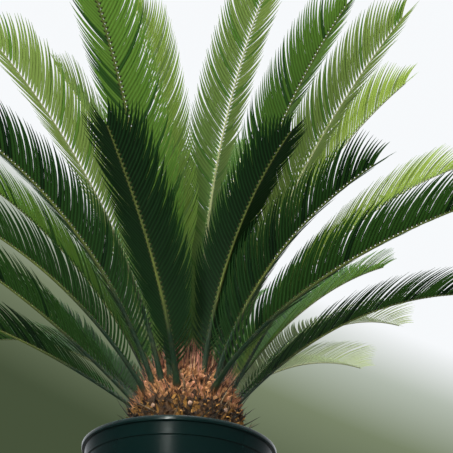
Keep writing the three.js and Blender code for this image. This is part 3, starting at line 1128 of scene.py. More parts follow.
@dataclass(frozen=True)
class CaudexShape:
    """The trunk's body: a barrel from the soil up to its shoulder, under a blunt dome."""

    offset: float = 0.010
    foot_level: float = 0.3153
    foot_radius: float = 0.097
    shoulder_radius: float = 0.110
    shoulder_level: float = 0.395
    dome_height: float = 0.108
    squareness: float = 1.6
    bluntness: float = 0.64
    seat_ring: float = 0.098
    seat_draw: float = 0.050
    seat_low_rise: float = 38.0
    seat_rise_span: float = 55.0
    rows: int = 22
    shift: Span = (0.2, 0.8)
    swing: float = 0.05

    @property
    def apex(self) -> float:
        """The level of the dome's top."""
        return self.shoulder_level + self.dome_height

    def dome_level(self, radius: Any) -> Any:
        """The level of the dome's surface at a distance from its axis.

        Args:
            radius: the distance, or an array of distances.

        Returns:
            The level, in the same form.
        """
        share = np.minimum(radius / self.shoulder_radius, 1.0)
        height = (1.0 - share**self.squareness) ** self.bluntness
        return self.shoulder_level + self.dome_height * height

    def profile(self) -> Outline:
        """Radii and levels from the middle of the cut foot to the apex.

        Returns:
            The outline.
        """
        rows = [(0.0, self.foot_level)]
        for row in range(self.rows):
            share = row / self.rows
            radius = mix(self.foot_radius, self.shoulder_radius, math.sin(share * math.pi / 2))
            rows.append((radius, mix(self.foot_level, self.shoulder_level, share)))
        for row in range(self.rows):
            radius = self.shoulder_radius * math.cos(row / self.rows * math.pi / 2)
            rows.append((radius, float(self.dome_level(radius))))
        rows.append((0.0, self.apex))
        return rows

    def seat(self, frond: Frond) -> Array:
        """The point of the dome on which a frond is seated.

        Args:
            frond: the frond.

        Returns:
            The point's coordinates.
        """
        share = max(0.0, (frond.rise - self.seat_low_rise) / self.seat_rise_span)
        ring = self.seat_ring - self.seat_draw * share**2
        angle = math.radians(frond.seat)
        level = float(self.dome_level(ring))
        return np.array([self.offset + ring * math.cos(angle), ring * math.sin(angle), level])

    def spots(self, count: int, low: float, high: float, draw: np.random.Generator) -> Spots:
        """Evenly strewn places on the surface.

        Args:
            count: how many.
            low: the lowest level.
            high: the highest level.
            draw: the source of their small shifts.

        Returns:
            The places, with the directions away from the surface and up along it.
        """
        rows = np.array([row for row in self.profile()[1:] if low <= row[1] <= high])
        steps = np.diff(rows, axis=0)
        area = np.hypot(*steps.T) * (rows[1:, 0] + rows[:-1, 0])
        done = np.concatenate([[0.0], np.cumsum(area)])
        want = (np.arange(count) + draw.uniform(*self.shift, count)) / count * done[-1]
        radius = np.interp(want, done, rows[:, 0])
        level = np.interp(want, done, rows[:, 1])
        slope = unit(steps)[np.clip(np.searchsorted(done, want) - 1, 0, len(steps) - 1)]
        azimuth = np.arange(count) * GOLDEN_ANGLE + draw.normal(0.0, self.swing, count)
        ray = np.stack([np.cos(azimuth), np.sin(azimuth), np.zeros(count)], -1)
        at = column(radius) * ray + column(level) * RISE + [self.offset, 0.0, 0.0]
        up = column(slope[:, 0]) * ray + column(slope[:, 1]) * RISE
        away = column(slope[:, 1]) * ray - column(slope[:, 0]) * RISE
        return Spots(at, away, up)


@dataclass(frozen=True)
class Spots:
    """Places on a surface, each with the direction away from it and up along it."""

    at: Array
    away: Array
    up: Array

    def kept(self, wanted: Array) -> Spots:
        """Only the wanted places."""
        return Spots(self.at[wanted], self.away[wanted], self.up[wanted])


@dataclass(frozen=True)
class FrondLine:
    """The middle line of a frond's stalk and rib, with the directions of its section."""

    frond: Frond
    shape: CaudexShape
    droop_power: float = 1.3
    turn_power: float = 3.0
    steps: int = 240
    root: float = 0.026

    def frames(self, share: Array) -> tuple[Array, Array, Array]:
        """Directions along the rib, to its upper face and to its left, at shares of its length.

        Args:
            share: the shares.

        Returns:
            The three directions at each share.
        """
        frond = self.frond
        share = np.maximum(share, 0.0)
        angle = np.radians(frond.rise - frond.droop * share**self.droop_power)
        turn = (frond.seat - frond.heading) * (1.0 - share) ** self.turn_power
        heading = np.radians(frond.heading + turn)
        level = np.zeros_like(share)
        out = np.stack([np.cos(heading), np.sin(heading), level], -1)
        along = column(np.cos(angle)) * out + column(np.sin(angle)) * RISE
        upper = column(np.cos(angle)) * RISE - column(np.sin(angle)) * out
        left = np.stack([-np.sin(heading), np.cos(heading), level], -1)
        return along, upper, left

    def places(self, share: Array) -> Array:
        """Points of the middle line at shares of its length.

        Args:
            share: the shares.

        Returns:
            The points.
        """
        marks = np.linspace(-self.root / self.frond.length, 1.0, self.steps + 1)
        along = self.frames((marks[1:] + marks[:-1]) / 2)[0]
        strides = along * column(np.diff(marks)) * self.frond.length
        line = np.concatenate([np.zeros((1, 3)), np.cumsum(strides, axis=0)])
        start = self.shape.seat(self.frond) - self.frames(np.zeros(1))[0][0] * self.root
        return start + np.stack([np.interp(share, marks, axis) for axis in line.T], -1)


@dataclass
class NurseryPot:
    """Tapered pot with a recessed skirt and a rounded lip, and drain holes round its foot."""

    height: float = 0.340
    rim_radius: float = 0.190
    lip_height: float = 0.010
    lip_rounding: float = 0.0025
    skirt_top_radius: float = 0.184
    skirt_foot_radius: float = 0.1815
    skirt_depth: float = 0.034
    step_height: float = 0.001
    body_top_radius: float = 0.1785
    base_radius: float = 0.142
    foot_rounding: float = 0.004
    foot_width: float = 0.012
    recess: float = 0.002
    wall: float = 0.003
    floor: float = 0.005
    steps: int = 144
    edge_rounding: float = 0.0006
    edge_angle: float = 25.0
    hole_count: int = 8
    hole_radius: float = 0.008
    hole_level: float = 0.018
    pin_length: float = 0.03
    pin_sides: int = 20

    def outline(self) -> Outline:
        """Radii and levels from the middle of the underside, over the lip, to the floor.

        Returns:
            The outline.
        """
        skirt_foot = self.height - self.skirt_depth
        lip_foot = self.height - self.lip_height
        lip = self.lip_rounding
        arch = [
            (
                self.rim_radius - lip + lip * math.cos(math.radians(angle)),
                self.height - lip + lip * math.sin(math.radians(angle)),
            )
            for angle in (0, 30, 60, 90)
        ]
        return [
            (0.0, self.recess),
            (self.base_radius - self.foot_rounding - self.foot_width, self.recess),
            (self.base_radius - self.foot_rounding - self.foot_width + self.recess, 0.0),
            (self.base_radius - self.foot_rounding, 0.0),
            (self.base_radius, self.foot_rounding),
            (self.body_top_radius, skirt_foot),
            (self.skirt_foot_radius, skirt_foot + self.step_height),
            (self.skirt_top_radius, lip_foot),
            (self.rim_radius - self.step_height, lip_foot),
            (self.rim_radius, lip_foot + lip),
            *arch,
            (self.rim_radius - 2 * lip, self.height),
            (self.skirt_top_radius - self.wall, self.height - lip),
            (self.body_top_radius - self.wall, skirt_foot),
            (self.base_radius - self.wall, self.floor),
            (0.0, self.floor),
        ]

    def hole_cutter(self) -> bpy.types.Object:
        """One object that holds a pin for each drain hole.

        Returns:
            The object.
        """
        pins = []
        for i in range(self.hole_count):
            azimuth = 2.0 * math.pi * (i + 0.5) / self.hole_count
            place = (
                self.base_radius * math.cos(azimuth),
                self.base_radius * math.sin(azimuth),
                self.hole_level,
            )
            bench = Bench.primitive(
                bpy.ops.mesh.primitive_cylinder_add,
                vertices=self.pin_sides,
                radius=self.hole_radius,
                depth=self.pin_length,
                location=place,
                rotation=(0.0, math.pi / 2, azimuth),
            )
            pins.append(bench.obj)
        for pin in pins:
            pin.select_set(True)
        bpy.ops.object.join()
        return bpy.context.view_layer.objects.active

    def build(self) -> None:
        """Turns the pot, rounds its edges, drills it and dresses it."""
        bench = Bench.outline("pot", self.outline())
        bench.spin(self.steps)
        bench.modify(
            "BEVEL",
            width=self.edge_rounding,
            segments=2,
            limit_method="ANGLE",
            angle_limit=math.radians(self.edge_angle),
        )
        cutter = self.hole_cutter()
        bench.modify("BOOLEAN", operation="DIFFERENCE", object=cutter, solver="EXACT")
        bpy.data.objects.remove(cutter)
        seat_piece(bench.finish("pot", [PotPlastic().material()]), "pot_plastic", "nursery_pot")


@dataclass
class PottingBed:
    """The potting mix that fills the pot, with chips of bark, mineral grains and pebbles on it."""

    shape: CaudexShape
    level: float = 0.315
    fall: float = 0.0025
    foot_level: float = 0.0053
    foot_radius: float = 0.1384
    bend_level: float = 0.306
    bend_radius: float = 0.1749
    edge_radius: float = 0.1759
    steps: int = 120
    rings: int = 34
    top_margin: float = 0.002
    lump_grain: float = 0.018
    lump_depth: float = 0.006
    lump_layers: int = 4
    under_caudex: float = 0.008
    wall_gap: float = 0.007
    bedding: Span = (-0.002, 0.002)
    tip_spread: float = 0.25
    roll_spread: float = 0.2
    slimness: Span = (0.55, 0.9)
    chip_count: int = 300
    chip_seeds: tuple[int, ...] = (0, 1, 2)
    chip_flatness: float = 0.42
    chip_lengths: Span = (0.004, 0.014)
    grain_count: int = 260
    grain_seed: int = 11
    grain_flatness: float = 0.8
    grain_lengths: Span = (0.0018, 0.0036)
    pebble_count: int = 26
    pebble_seed: int = 12
    pebble_flatness: float = 0.7
    pebble_lengths: Span = (0.006, 0.011)
    draw: np.random.Generator = field(default_factory=lambda: np.random.default_rng(SEED + 1))

    def bed(self) -> None:
        """The body of the mix, with an uneven top."""
        outline = [(0.0, self.foot_level), (self.foot_radius, self.foot_level)]
        outline.append((self.bend_radius, self.bend_level))
        for ring in range(self.rings):
            share = ring / self.rings
            radius = self.edge_radius * (1.0 - share)
            outline.append((radius, self.level - self.fall * (1.0 - share)))
        outline.append((0.0, self.level))
        bench = Bench.outline("soil", outline)
        bench.spin(self.steps)
        group = bench.obj.vertex_groups.new(name="top")
        low = self.bend_level + self.top_margin
        group.add([v.index for v in bench.obj.data.vertices if v.co.z > low], 1.0, "REPLACE")
        texture = bpy.data.textures.new("mix_lumps", "CLOUDS")
        texture.noise_scale = self.lump_grain
        texture.noise_depth = self.lump_layers
        bench.modify(
            "DISPLACE",
            texture=texture,
            strength=self.lump_depth,
            mid_level=0.5,
            direction="Z",
            vertex_group="top",
        )
        seat_piece(bench.finish("soil", [PottingMix().material()]), "potting_soil", "potting_soil")

    def strewn(
        self, flock: Flock, form: Form, count: int, lengths: Span, slots: Sequence[int]
    ) -> None:
        """Strews copies over the open ring of soil between the caudex and the wall.

        Args:
            flock: what they are added to.
            form: the form.
            count: how many.
            lengths: their smallest and largest length.
            slots: the material slots that are dealt out.
        """
        draw = self.draw
        inner = self.shape.shoulder_radius - self.under_caudex
        outer = self.edge_radius - self.wall_gap
        radius = np.sqrt(draw.uniform(inner**2, outer**2, count))
        azimuth = draw.uniform(0.0, 2.0 * math.pi, count)
        level = self.level + draw.uniform(*self.bedding, count)
        at = np.stack([radius * np.cos(azimuth), radius * np.sin(azimuth), level], -1)
        spin = draw.uniform(0.0, 2.0 * math.pi, count)
        tip = draw.normal(0.0, self.tip_spread, count)
        along = unit(np.stack([np.cos(spin), np.sin(spin), tip], -1))
        face = square_to(RISE + draw.normal(0.0, self.roll_spread, (count, 3)), along)
        length = draw.uniform(*lengths, count)
        width = length * draw.uniform(*self.slimness, count)
        points = form.laid_out(at, along, face, length, width, np.zeros(count))
        flock.add(form, points, draw.choice(slots, count))

    def build(self) -> None:
        """The bed and what lies on it."""
        self.bed()
        chips = Flock()
        for seed in self.chip_seeds:
            chip = crumb_form(seed, self.chip_flatness)
            self.strewn(chips, chip, self.chip_count, self.chip_lengths, range(len(BARK)))
        bark = [tissue.material() for tissue in BARK]
        seat_piece(chips.piece("bark_chips", bark), "potting_soil")
        stones = Flock()
        grain = crumb_form(self.grain_seed, self.grain_flatness)
        self.strewn(stones, grain, self.grain_count, self.grain_lengths, [0])
        pebble = crumb_form(self.pebble_seed, self.pebble_flatness)
        self.strewn(stones, pebble, self.pebble_count, self.pebble_lengths, [1])
        mineral = [stone.material() for stone in LOOSE_STONES]
        seat_piece(stones.piece("pebbles", mineral), "potting_soil")


@dataclass(frozen=True)
class Crowd:
    """How many copies of a small form clad a surface, and the spans of their measures.

    A copy leans away from the surface and to its side, each against 1 up along the surface.
    """

    count: int
    lengths: Span
    widths: Span
    away: Span
    sideways: float


@dataclass
class Caudex:
    """The trunk: a body of old leaf bases, clad in curled scales, wool, papery scales and spines.

    Its lumps are given by their grain and depth. A curl is the turn of a copy from foot to tip,
    in radians, that of the papery scales by its mean and spread.
    """

    shape: CaudexShape
    lines: list[FrondLine]
    steps: int = 128
    base_lumps: Pair = (0.018, 0.010)
    wool_lumps: Pair = (0.006, 0.006)
    band_top: float = 0.412
    scales: Crowd = Crowd(1500, (0.007, 0.018), (0.004, 0.008), (0.0, 0.9), 0.9)
    scale_cup: float = 0.16
    scale_curl: Span = (-0.6, 3.6)
    scale_seat: Span = (-0.006, 0.001)
    tufts: Crowd = Crowd(300, (0.008, 0.015), (0.0055, 0.0095), (0.2, 1.4), 1.3)
    tuft_seeds: tuple[int, ...] = (20, 21, 22)
    tuft_flatness: float = 0.75
    curls: Crowd = Crowd(1300, (0.012, 0.024), (0.0034, 0.0062), (0.2, 1.4), 1.3)
    curl_cup: float = 0.14
    wool_curl: Span = (0.4, 1.4)
    wool_overlap: float = 0.005
    wool_seat: float = 0.003
    wool_heap: float = 0.030
    heap_slope: float = 2.5
    papery_count: int = 600
    papery_cup: float = 0.10
    papery_from: float = 0.036
    papery_upright: Span = (1.3, 4.0)
    papery_spread: float = 0.17
    papery_tip: float = 0.3
    papery_lengths: Span = (0.030, 0.056)
    papery_growth: Span = (0.9, 1.15)
    papery_widths: Span = (0.0028, 0.0056)
    papery_curl: Pair = (0.1, 0.25)
    stalk_reach: float = 0.12
    stalk_marks: int = 14
    scale_marks: int = 6
    clearance: float = 0.0085
    dead_spines: Crowd = Crowd(220, (0.030, 0.056), (0.0024, 0.0036), (0.5, 1.8), 0.9)
    spine_curl: float = 0.2
    spines_from: float = 0.040
    spines_to: float = 0.085
    spine_root: float = 0.004
    stone_azimuths: tuple[float, ...] = (234.0, 273.0, 313.0, 60.0, 148.0)
    stone_level: float = 0.391
    stone_sizes: Span = (0.007, 0.010)
    stone_seed: int = 31
    stone_flatness: float = 0.8
    draw: np.random.Generator = field(default_factory=lambda: np.random.default_rng(SEED + 2))

    def body(self) -> None:
        """The body, lumpy all over, with its foot left flat."""
        bench = Bench.outline("caudex_body", self.shape.profile())
        bench.spin(self.steps)
        with bench.editing():
            bpy.ops.mesh.select_all(action="SELECT")
            bpy.ops.transform.translate(value=(self.shape.offset, 0.0, 0.0))
        bench.modify("SUBSURF", levels=1, render_levels=1)
        bench.lump("old_bases", *self.base_lumps)
        bench.lump("wool_curls", *self.wool_lumps)
        wool = CAUDEX_WOOL.material()
        seat_piece(bench.finish("caudex_body", [wool]), "caudex", "caudex")

    def height(self, spots: Spots) -> Array:
        """How high places are on the dome, from 0 at the band's top to 1 at the apex."""
        return (spots.at[:, 2] - self.band_top) / (self.shape.apex - self.band_top)

    def dealt(
        self, crowd: Crowd, low: float, high: float
    ) -> tuple[Spots, Array, Array, Array, Array]:
        """Deals out a crowd over the surface between two levels.

        Args:
            crowd: the crowd.
            low: the lowest level.
            high: the highest level.

        Returns:
            The places, and each copy's direction, outer face, length and width.
        """
        draw, count = self.draw, crowd.count
        spots = self.shape.spots(count, low, high, draw)
        away, sideways = draw.uniform(*crowd.away, count), draw.normal(0.0, crowd.sideways, count)
        side = np.cross(spots.away, spots.up)
        along = unit(spots.up + column(away) * spots.away + column(sideways) * side)
        length, width = draw.uniform(*crowd.lengths, count), draw.uniform(*crowd.widths, count)
        return spots, along, square_to(spots.away, along), length, width

    def clad(self, name: str, form: Form, points: Array, palette: Palette) -> None:
        """Makes a piece of copies of a form, with a palette's tissues dealt out to them.

        Args:
            name: the piece's name.
            form: the form.
            points: the points of each copy.
            palette: the tissues.
        """
        flock = Flock()
        flock.add(form, points, palette.dealt(len(points), self.draw))
        seat_piece(flock.piece(name, palette.materials()), "caudex")

    def old_scales(self) -> None:
        """Curled dead scales round the barrel, gold to nearly black."""
        form = scale_form(OLD_SCALE_WIDTHS, 3, self.scale_cup)
        low, high = self.shape.foot_level, self.band_top
        spots, along, face, length, width = self.dealt(self.scales, low, high)
        curl = self.draw.uniform(*self.scale_curl, self.scales.count)
        seat = self.draw.uniform(*self.scale_seat, self.scales.count)
        at = spots.at + column(seat) * spots.away
        points = form.laid_out(at, along, face, length, width, curl)
        self.clad("old_scales", form, points, OLD_SCALES)

    def wool(self) -> None:
        """Tufts and curls of pink and tan wool, heaped over the dome."""
        flock = Flock()
        for seed in self.tuft_seeds:
            self.heaped(flock, crumb_form(seed, self.tuft_flatness), self.tufts)
        self.heaped(flock, scale_form(WOOL_CURL_WIDTHS, 2, self.curl_cup), self.curls)
        seat_piece(flock.piece("wool_tufts", WOOL.materials()), "caudex")

    def heaped(self, flock: Flock, form: Form, crowd: Crowd) -> None:
        """Heaps copies over the dome, higher the nearer they are to its top.

        Args:
            flock: what they are added to.
            form: the form.
            crowd: the crowd.
        """
        low, high = self.band_top - self.wool_overlap, self.shape.apex
        spots, along, face, length, width = self.dealt(crowd, low, high)
        curl = self.draw.uniform(*self.wool_curl, crowd.count)
        share = np.clip(self.height(spots) * self.heap_slope, 0.0, 1.0)
        heap = self.draw.uniform(0.0, self.wool_heap, crowd.count) * share
        at = spots.at - self.wool_seat * spots.away + column(heap) * RISE
        points = form.laid_out(at, along, face, length, width, curl)
        flock.add(form, points, WOOL.dealt(crowd.count, self.draw))

    def papery(self) -> None:
        """Pointed papery scales that stand up among the stalks, and clear of them."""
        draw, count = self.draw, self.papery_count
        form = scale_form(PAPERY_SCALE_WIDTHS, 2, self.papery_cup)
        low, high = self.band_top + self.papery_from, self.shape.apex
        spots = self.shape.spots(count, low, high, draw)
        height = np.clip(self.height(spots), 0.0, 1.0)
        upright = column(mix(*self.papery_upright, height)) * RISE
        lean = unit(upright + spots.away * [1.0, 1.0, 0.0])
        along = unit(lean + draw.normal(0.0, self.papery_spread, (count, 3)))
        face = square_to(spots.away + self.papery_tip * RISE, along)
        length = draw.uniform(*self.papery_lengths, count) * mix(*self.papery_growth, height)
        clear = self.clear_of_stalks(spots, along, length)
        spots, along, face, length = spots.kept(clear), along[clear], face[clear], length[clear]
        width = draw.uniform(*self.papery_widths, len(length))
        curl = draw.normal(*self.papery_curl, len(length))
        at = spots.at + 0.5 * self.wool_heap * RISE
        points = form.laid_out(at, along, face, length, width, curl)
        self.clad("papery_scales", form, points, PAPERY_SCALES)

    def clear_of_stalks(self, spots: Spots, along: Array, length: Array) -> Array:
        """Which scales stand clear of every stalk.

        Args:
            spots: the places that they stand on.
            along: their directions.
            length: their lengths.

        Returns:
            For each scale, whether it is clear.
        """
        shares = np.linspace(0.0, self.stalk_reach, self.stalk_marks)
        stalks = np.concatenate([line.places(shares) for line in self.lines])
        reach = column(np.linspace(0.1, 1.0, self.scale_marks)) * column(length)[..., None]
        marks = spots.at[:, None] + reach * along[:, None]
        gaps = np.linalg.norm(marks[:, :, None] - stalks, axis=-1).min((1, 2))
        return gaps > self.clearance

    def spines(self) -> None:
        """Dead spines that stand out of the scales at all angles."""
        form = spine_form()
        low, high = self.shape.foot_level + self.spines_from, self.band_top + self.spines_to
        spots, along, face, length, width = self.dealt(self.dead_spines, low, high)
        curl = self.draw.normal(0.0, self.spine_curl, self.dead_spines.count)
        at = spots.at - self.spine_root * along
        points = form.laid_out(at, along, face, length, width, curl)
        self.clad("dead_spines", form, points, SPINES)

    def lodged_stones(self) -> None:
        """A few pale pebbles caught among the old scales."""
        azimuth = np.radians(self.stone_azimuths)
        count = len(azimuth)
        ray = np.stack([np.cos(azimuth), np.sin(azimuth), np.zeros(count)], -1)
        at = ray * self.shape.shoulder_radius + [self.shape.offset, 0.0, self.stone_level]
        along = np.tile(RISE, (count, 1))
        length = self.draw.uniform(*self.stone_sizes, count)
        form = crumb_form(self.stone_seed, self.stone_flatness)
        points = form.laid_out(at, along, ray, length, length, np.zeros(count))
        flock = Flock()
        flock.add(form, points, np.zeros(count, int))
        seat_piece(flock.piece("lodged_stones", [LODGED_STONE.material()]), "caudex")

    def build(self) -> None:
        """The body and all that clads it."""
        self.body()
        self.old_scales()
        self.wool()
        self.papery()
        self.spines()
        self.lodged_stones()


@dataclass
class Crown:
    """Thirty fronds in three rings, each a ribbed stalk with two rows of leaflets in a V.

    Shares are of a frond's or a leaflet's length, and angles are in degrees: a leaflet's angle is
    measured from its rib, and the V's from flat.
    """

    rings: dict[str, list[FrondLine]]
    stalk_width: float = 0.0135
    stalk_depth: float = 0.0110
    rib_tip_width: float = 0.0022
    rib_tip_depth: float = 0.0022
    taper_power: float = 2.5
    foot_swell: float = 0.35
    foot_length: float = 0.030
    bare_share: float = 0.075
    blade_from: float = 0.13
    foot_reach: float = 0.22
    foot_spread: float = 10.0
    foot_spread_to: float = 0.20
    pitch: float = 0.0096
    leaflet_length: float = 0.134
    first_share: float = 0.55
    last_share: float = 0.45
    full_from: float = 0.22
    full_to: float = 0.80
    angle_foot: float = 37.0
    angle_tip: float = 18.0
    angle_power: float = 12.0
    v_angle: float = 27.0
    fine_width: float = 0.0050
    slim_width: float = 0.0066
    broad_width: float = 0.0071
    foot_slimness: float = 0.62
    blade_roll: float = 1.0
    roll_spread: float = 3.0
    bow_out: float = 0.24
    bow_up: float = 0.07
    foot_share: float = 0.03
    slim_foot: float = 0.50
    broad_foot: float = 1.45
    neck_share: float = 0.10
    foot_opening: Pair = (0.3, 0.8)
    blade_width: float = 1.15
    blade_depth: float = 0.17
    keel: float = 0.035
    blade_tip: Pair = (0.06, 0.02)
    length_spread: float = 0.025
    length_limits: Span = (0.92, 1.04)
    turn_spread: float = 0.5
    lift_spread: float = 1.0
    stagger: float = 0.25
    seat_out: float = 0.55
    seat_up: float = 0.30
    short_slimness: float = 0.62
    tooth_pitch: float = 0.010
    teeth_from: float = 0.16
    tooth_out: float = 1.1
    tooth_up: float = 0.35
    tooth_spread: float = 0.12
    tooth_seat: float = 0.8
    tooth_length: Span = (0.003, 0.013)
    tooth_unevenness: Span = (0.8, 1.2)
    tooth_width: Span = (0.0016, 0.0024)
    tooth_curl: float = 0.2
    stalk_rings: int = 72
    stalk_sides: int = 12
    upper_from: float = 0.1
    upper_flatness: float = 0.82
    channel_from: float = 0.8
    channel_depth: float = 0.16
    second_tone: float = 0.14
    piece_fronds: int = 10
    draw: np.random.Generator = field(default_factory=lambda: np.random.default_rng(SEED + 3))

    @property
    def lines(self) -> list[FrondLine]:
        """The middle lines of all the fronds, ring by ring."""
        return [line for lines in self.rings.values() for line in lines]

    def leaflet_form(self, foot: float) -> Form:
        """A narrow blade, keeled like a low roof, with a foot of a given width and a long tip.

        Args:
            foot: the width of its foot, against 1 for a full leaflet.

        Returns:
            The form.
        """
        near, far = (mix(foot, self.blade_width, share) for share in self.foot_opening)
        rows = {0.0: foot, self.foot_share: near, self.neck_share: far, **BLADE_WIDTHS}
        bench = rod_bench(4, 0.5)
        with bench.editing():
            bench.cut_rows([x for x in rows if x > 0.0])
            for x, width in rows.items():
                bench.size_row(x, width, self.blade_depth)
            bench.size_row(1.0, *self.blade_tip)
            bench.pick(lambda place: abs(place.y) < MIDDLE_WIDTH)
            bpy.ops.transform.translate(value=(0.0, 0.0, self.keel))
        return Form.taken_from(bench)

    def stalk_form(self) -> Form:
        """A straight rod with a shallow channel along its upper side.

        Returns:
            The form.
        """
        bench = rod_bench(self.stalk_sides, 1.0)
        with bench.editing():
            bench.cut_rows([i / self.stalk_rings for i in range(1, self.stalk_rings)])
            bench.pick(lambda place: place.z > self.upper_from)
            middle = (0.0, 0.0, 0.0)
            bpy.ops.transform.resize(value=(1.0, 1.0, self.upper_flatness), center_override=middle)
            bench.pick(lambda place: place.z > self.channel_from)
            bpy.ops.transform.translate(value=(0.0, 0.0, -self.channel_depth))
        return Form.taken_from(bench)

    def half_size(self, share: Array) -> tuple[Array, Array]:
        """Half the width and half the depth of a stalk at shares of its length.

        Args:
            share: the shares.

        Returns:
            The half widths and half depths.
        """
        left = (1.0 - np.clip(share, 0.0, 1.0)) ** self.taper_power
        width = mix(self.rib_tip_width, self.stalk_width, left) / 2
        depth = mix(self.rib_tip_depth, self.stalk_depth, left) / 2
        return width, depth

    def stalks(self, name: str, lines: list[FrondLine], nodes: list[str]) -> None:
        """The stalks and ribs of a ring, in one piece that stands for its nodes.

        Args:
            name: the ring's name.
            lines: the middle lines of its fronds.
            nodes: the names of its nodes.
        """
        form = self.stalk_form()
        flock = Flock()
        x, y, z = form.points.T
        turn = (np.arctan2(z, y) / (2.0 * math.pi)) % 1.0
        for line in lines:
            root = line.root / line.frond.length
            share = x * (1.0 + root) - root
            width, depth = self.half_size(share)
            reach = share * line.frond.length
            swell = 1.0 + self.foot_swell * (1.0 - smooth_step(reach, 0.0, self.foot_length))
            along, upper, left = line.frames(share)
            points = line.places(share) + column(y * width * swell) * left
            points = points + column(z * depth * swell) * upper
            # Fronds that the sky shines through take the cream rib, which is painted lit.
            slot = np.array([int(line.frond.tone.bright)])
            flock.add(form, points[None], slot, np.stack([turn, np.maximum(share, 0.0)], -1))
        skins = [skin.material() for skin in STALKS]
        piece = flock.piece(f"{name}_stalks", skins, StalkSkin.map_name)
        seat_piece(piece, "frond_leaf", *nodes)

    def teeth(self) -> None:
        """Short spines along both edges of every bare stalk, longer towards the leaflets."""
        form = spine_form()
        flock = Flock()
        share_from = self.bare_share * self.teeth_from
        for line in self.lines:
            bare = (self.bare_share - share_from) * line.frond.length
            count = int(bare / self.tooth_pitch)
            share = mix(share_from, self.bare_share, np.arange(count) / count)
            place = share / self.bare_share
            along, upper, left = line.frames(share)
            width, _ = self.half_size(share)
            for side in (1.0, -1.0):
                out = along + side * left * self.tooth_out + upper * self.tooth_up
                direction = unit(out + self.draw.normal(0.0, self.tooth_spread, (count, 3)))
                at = line.places(share) + side * left * column(width * self.tooth_seat)
                uneven = self.draw.uniform(*self.tooth_unevenness, count)
                length = mix(*self.tooth_length, place) * uneven
                thick = mix(*self.tooth_width, place)
                curl = np.full(count, self.tooth_curl)
                face = square_to(upper, direction)
                points = form.laid_out(at, direction, face, length, thick, curl)
                flock.add(form, points, self.draw.choice(len(TEETH), count))
        tissues = [tissue.material() for tissue in TEETH]
        seat_piece(flock.piece("stalk_teeth", tissues), "frond_leaf")

    def leaflet_reach(self, share: Array) -> Array:
        """Length of a leaflet by its share of the frond's length.

        Args:
            share: the shares.

        Returns:
            The lengths.
        """
        place = (share - self.blade_from) / (1.0 - self.blade_from)
        opening = mix(self.first_share, 1.0, smooth_step(place, 0.0, self.full_from))
        foot = (share - self.bare_share) / (self.blade_from - self.bare_share)
        opening = np.where(foot < 1.0, mix(self.foot_reach, self.first_share, foot), opening)
        closing = mix(1.0, self.last_share, smooth_step(place, self.full_to, 1.0))
        return self.leaflet_length * opening * closing

    def leaflet_row(self, line: FrondLine, form: Form, widest: float, side: float) -> Array:
        """The points of the leaflets along one side of a rib.

        Args:
            line: the rib's middle line.
            form: the leaflet.
            widest: the width of a full leaflet.
            side: 1 for the left, -1 for the right.

        Returns:
            The points of each leaflet.
        """
        draw = self.draw
        count = round((1.0 - self.bare_share) * line.frond.length / self.pitch)
        place = (np.arange(count) + 0.5 + self.stagger * side) / count
        share = mix(self.bare_share, 1.0, place)
        length = line.frond.leaf * self.leaflet_reach(share)
        uneven = draw.normal(1.0, self.length_spread, count)
        length = length * np.clip(uneven, *self.length_limits)
        turn = mix(self.angle_foot, self.angle_tip, place**self.angle_power)
        spread = 1.0 - smooth_step(share, self.bare_share, self.foot_spread_to)
        turn = turn + self.foot_spread * spread
        theta = np.radians(turn + draw.normal(0.0, self.turn_spread, count))
        lift = np.radians(self.v_angle + draw.normal(0.0, self.lift_spread, count))
        along, upper, left = line.frames(share)
        slope = column(np.cos(lift)) * side * left + column(np.sin(lift)) * upper
        direction = column(np.cos(theta)) * along + column(np.sin(theta)) * slope
        forward = square_to(along, direction)
        face = side * np.cross(forward, direction)
        roll = column(np.radians(self.blade_roll + draw.normal(0.0, self.roll_spread, count)))
        tilted = np.cos(roll) * face - np.sin(roll) * forward
        width, depth = self.half_size(share)
        at = line.places(share) + side * left * column(width * self.seat_out)
        at = at + upper * column(depth * self.seat_up)
        bow = self.bow_up * face - self.bow_out * forward
        fullness = np.sqrt(length / self.leaflet_length)
        size = widest * mix(self.short_slimness, 1.0, fullness)
        size = size * mix(1.0, self.foot_slimness, spread)
        return form.laid_out(at, direction, tilted, length, size, np.zeros(count), bow)

    def leaflets(self, name: str, lines: list[FrondLine]) -> None:
        """The leaflets of some fronds, in one piece, each frond in its own tones.

        Args:
            name: the piece's name.
            lines: the middle lines of the fronds.
        """
        slim, broad = self.leaflet_form(self.slim_foot), self.leaflet_form(self.broad_foot)
        widths = {Tone.SHADED: self.broad_width, Tone.PALE: self.fine_width}
        flock = Flock()
        for line in lines:
            tone = line.frond.tone
            form = slim if tone.bright else broad
            foot = form.faces_before(self.foot_share + MERGE_DISTANCE)
            # Fronds that the sky shines through take the cream feet, partly a painted glint.
            foot_slot = len(TONE_ORDER) + int(tone.bright)
            strip = np.stack([form.points[:, 1] + 0.5, form.points[:, 0]], -1)
            widest = widths.get(tone, self.slim_width)
            for side in (1.0, -1.0):
                points = self.leaflet_row(line, form, widest, side)
                second = self.draw.uniform(size=len(points)) < self.second_tone
                dealt = np.where(second, TONE_ORDER.index(tone.darker), TONE_ORDER.index(tone))
                flock.add(form, points, np.where(foot, foot_slot, column(dealt)), strip)
        skins = [tone.value for tone in TONE_ORDER] + list(LEAFLET_FEET)
        leaves = [skin.material() for skin in skins]
        seat_piece(flock.piece(name, leaves, LeafSkin.map_name), "frond_leaf")

    def build(self) -> None:
        """Stalks, teeth and leaflets, ring by ring."""
        for ring, lines in self.rings.items():
            nodes = [f"{ring}_frond_{i + 1}" for i in range(len(lines))]
            self.stalks(ring, lines, nodes)
            half = (len(lines) + 1) // 2
            if len(lines) > self.piece_fronds:
                self.leaflets(f"{ring}_leaflets_back", lines[:half])
                self.leaflets(f"{ring}_leaflets_front", lines[half:])
            else:
                self.leaflets(f"{ring}_leaflets", lines)
        self.teeth()


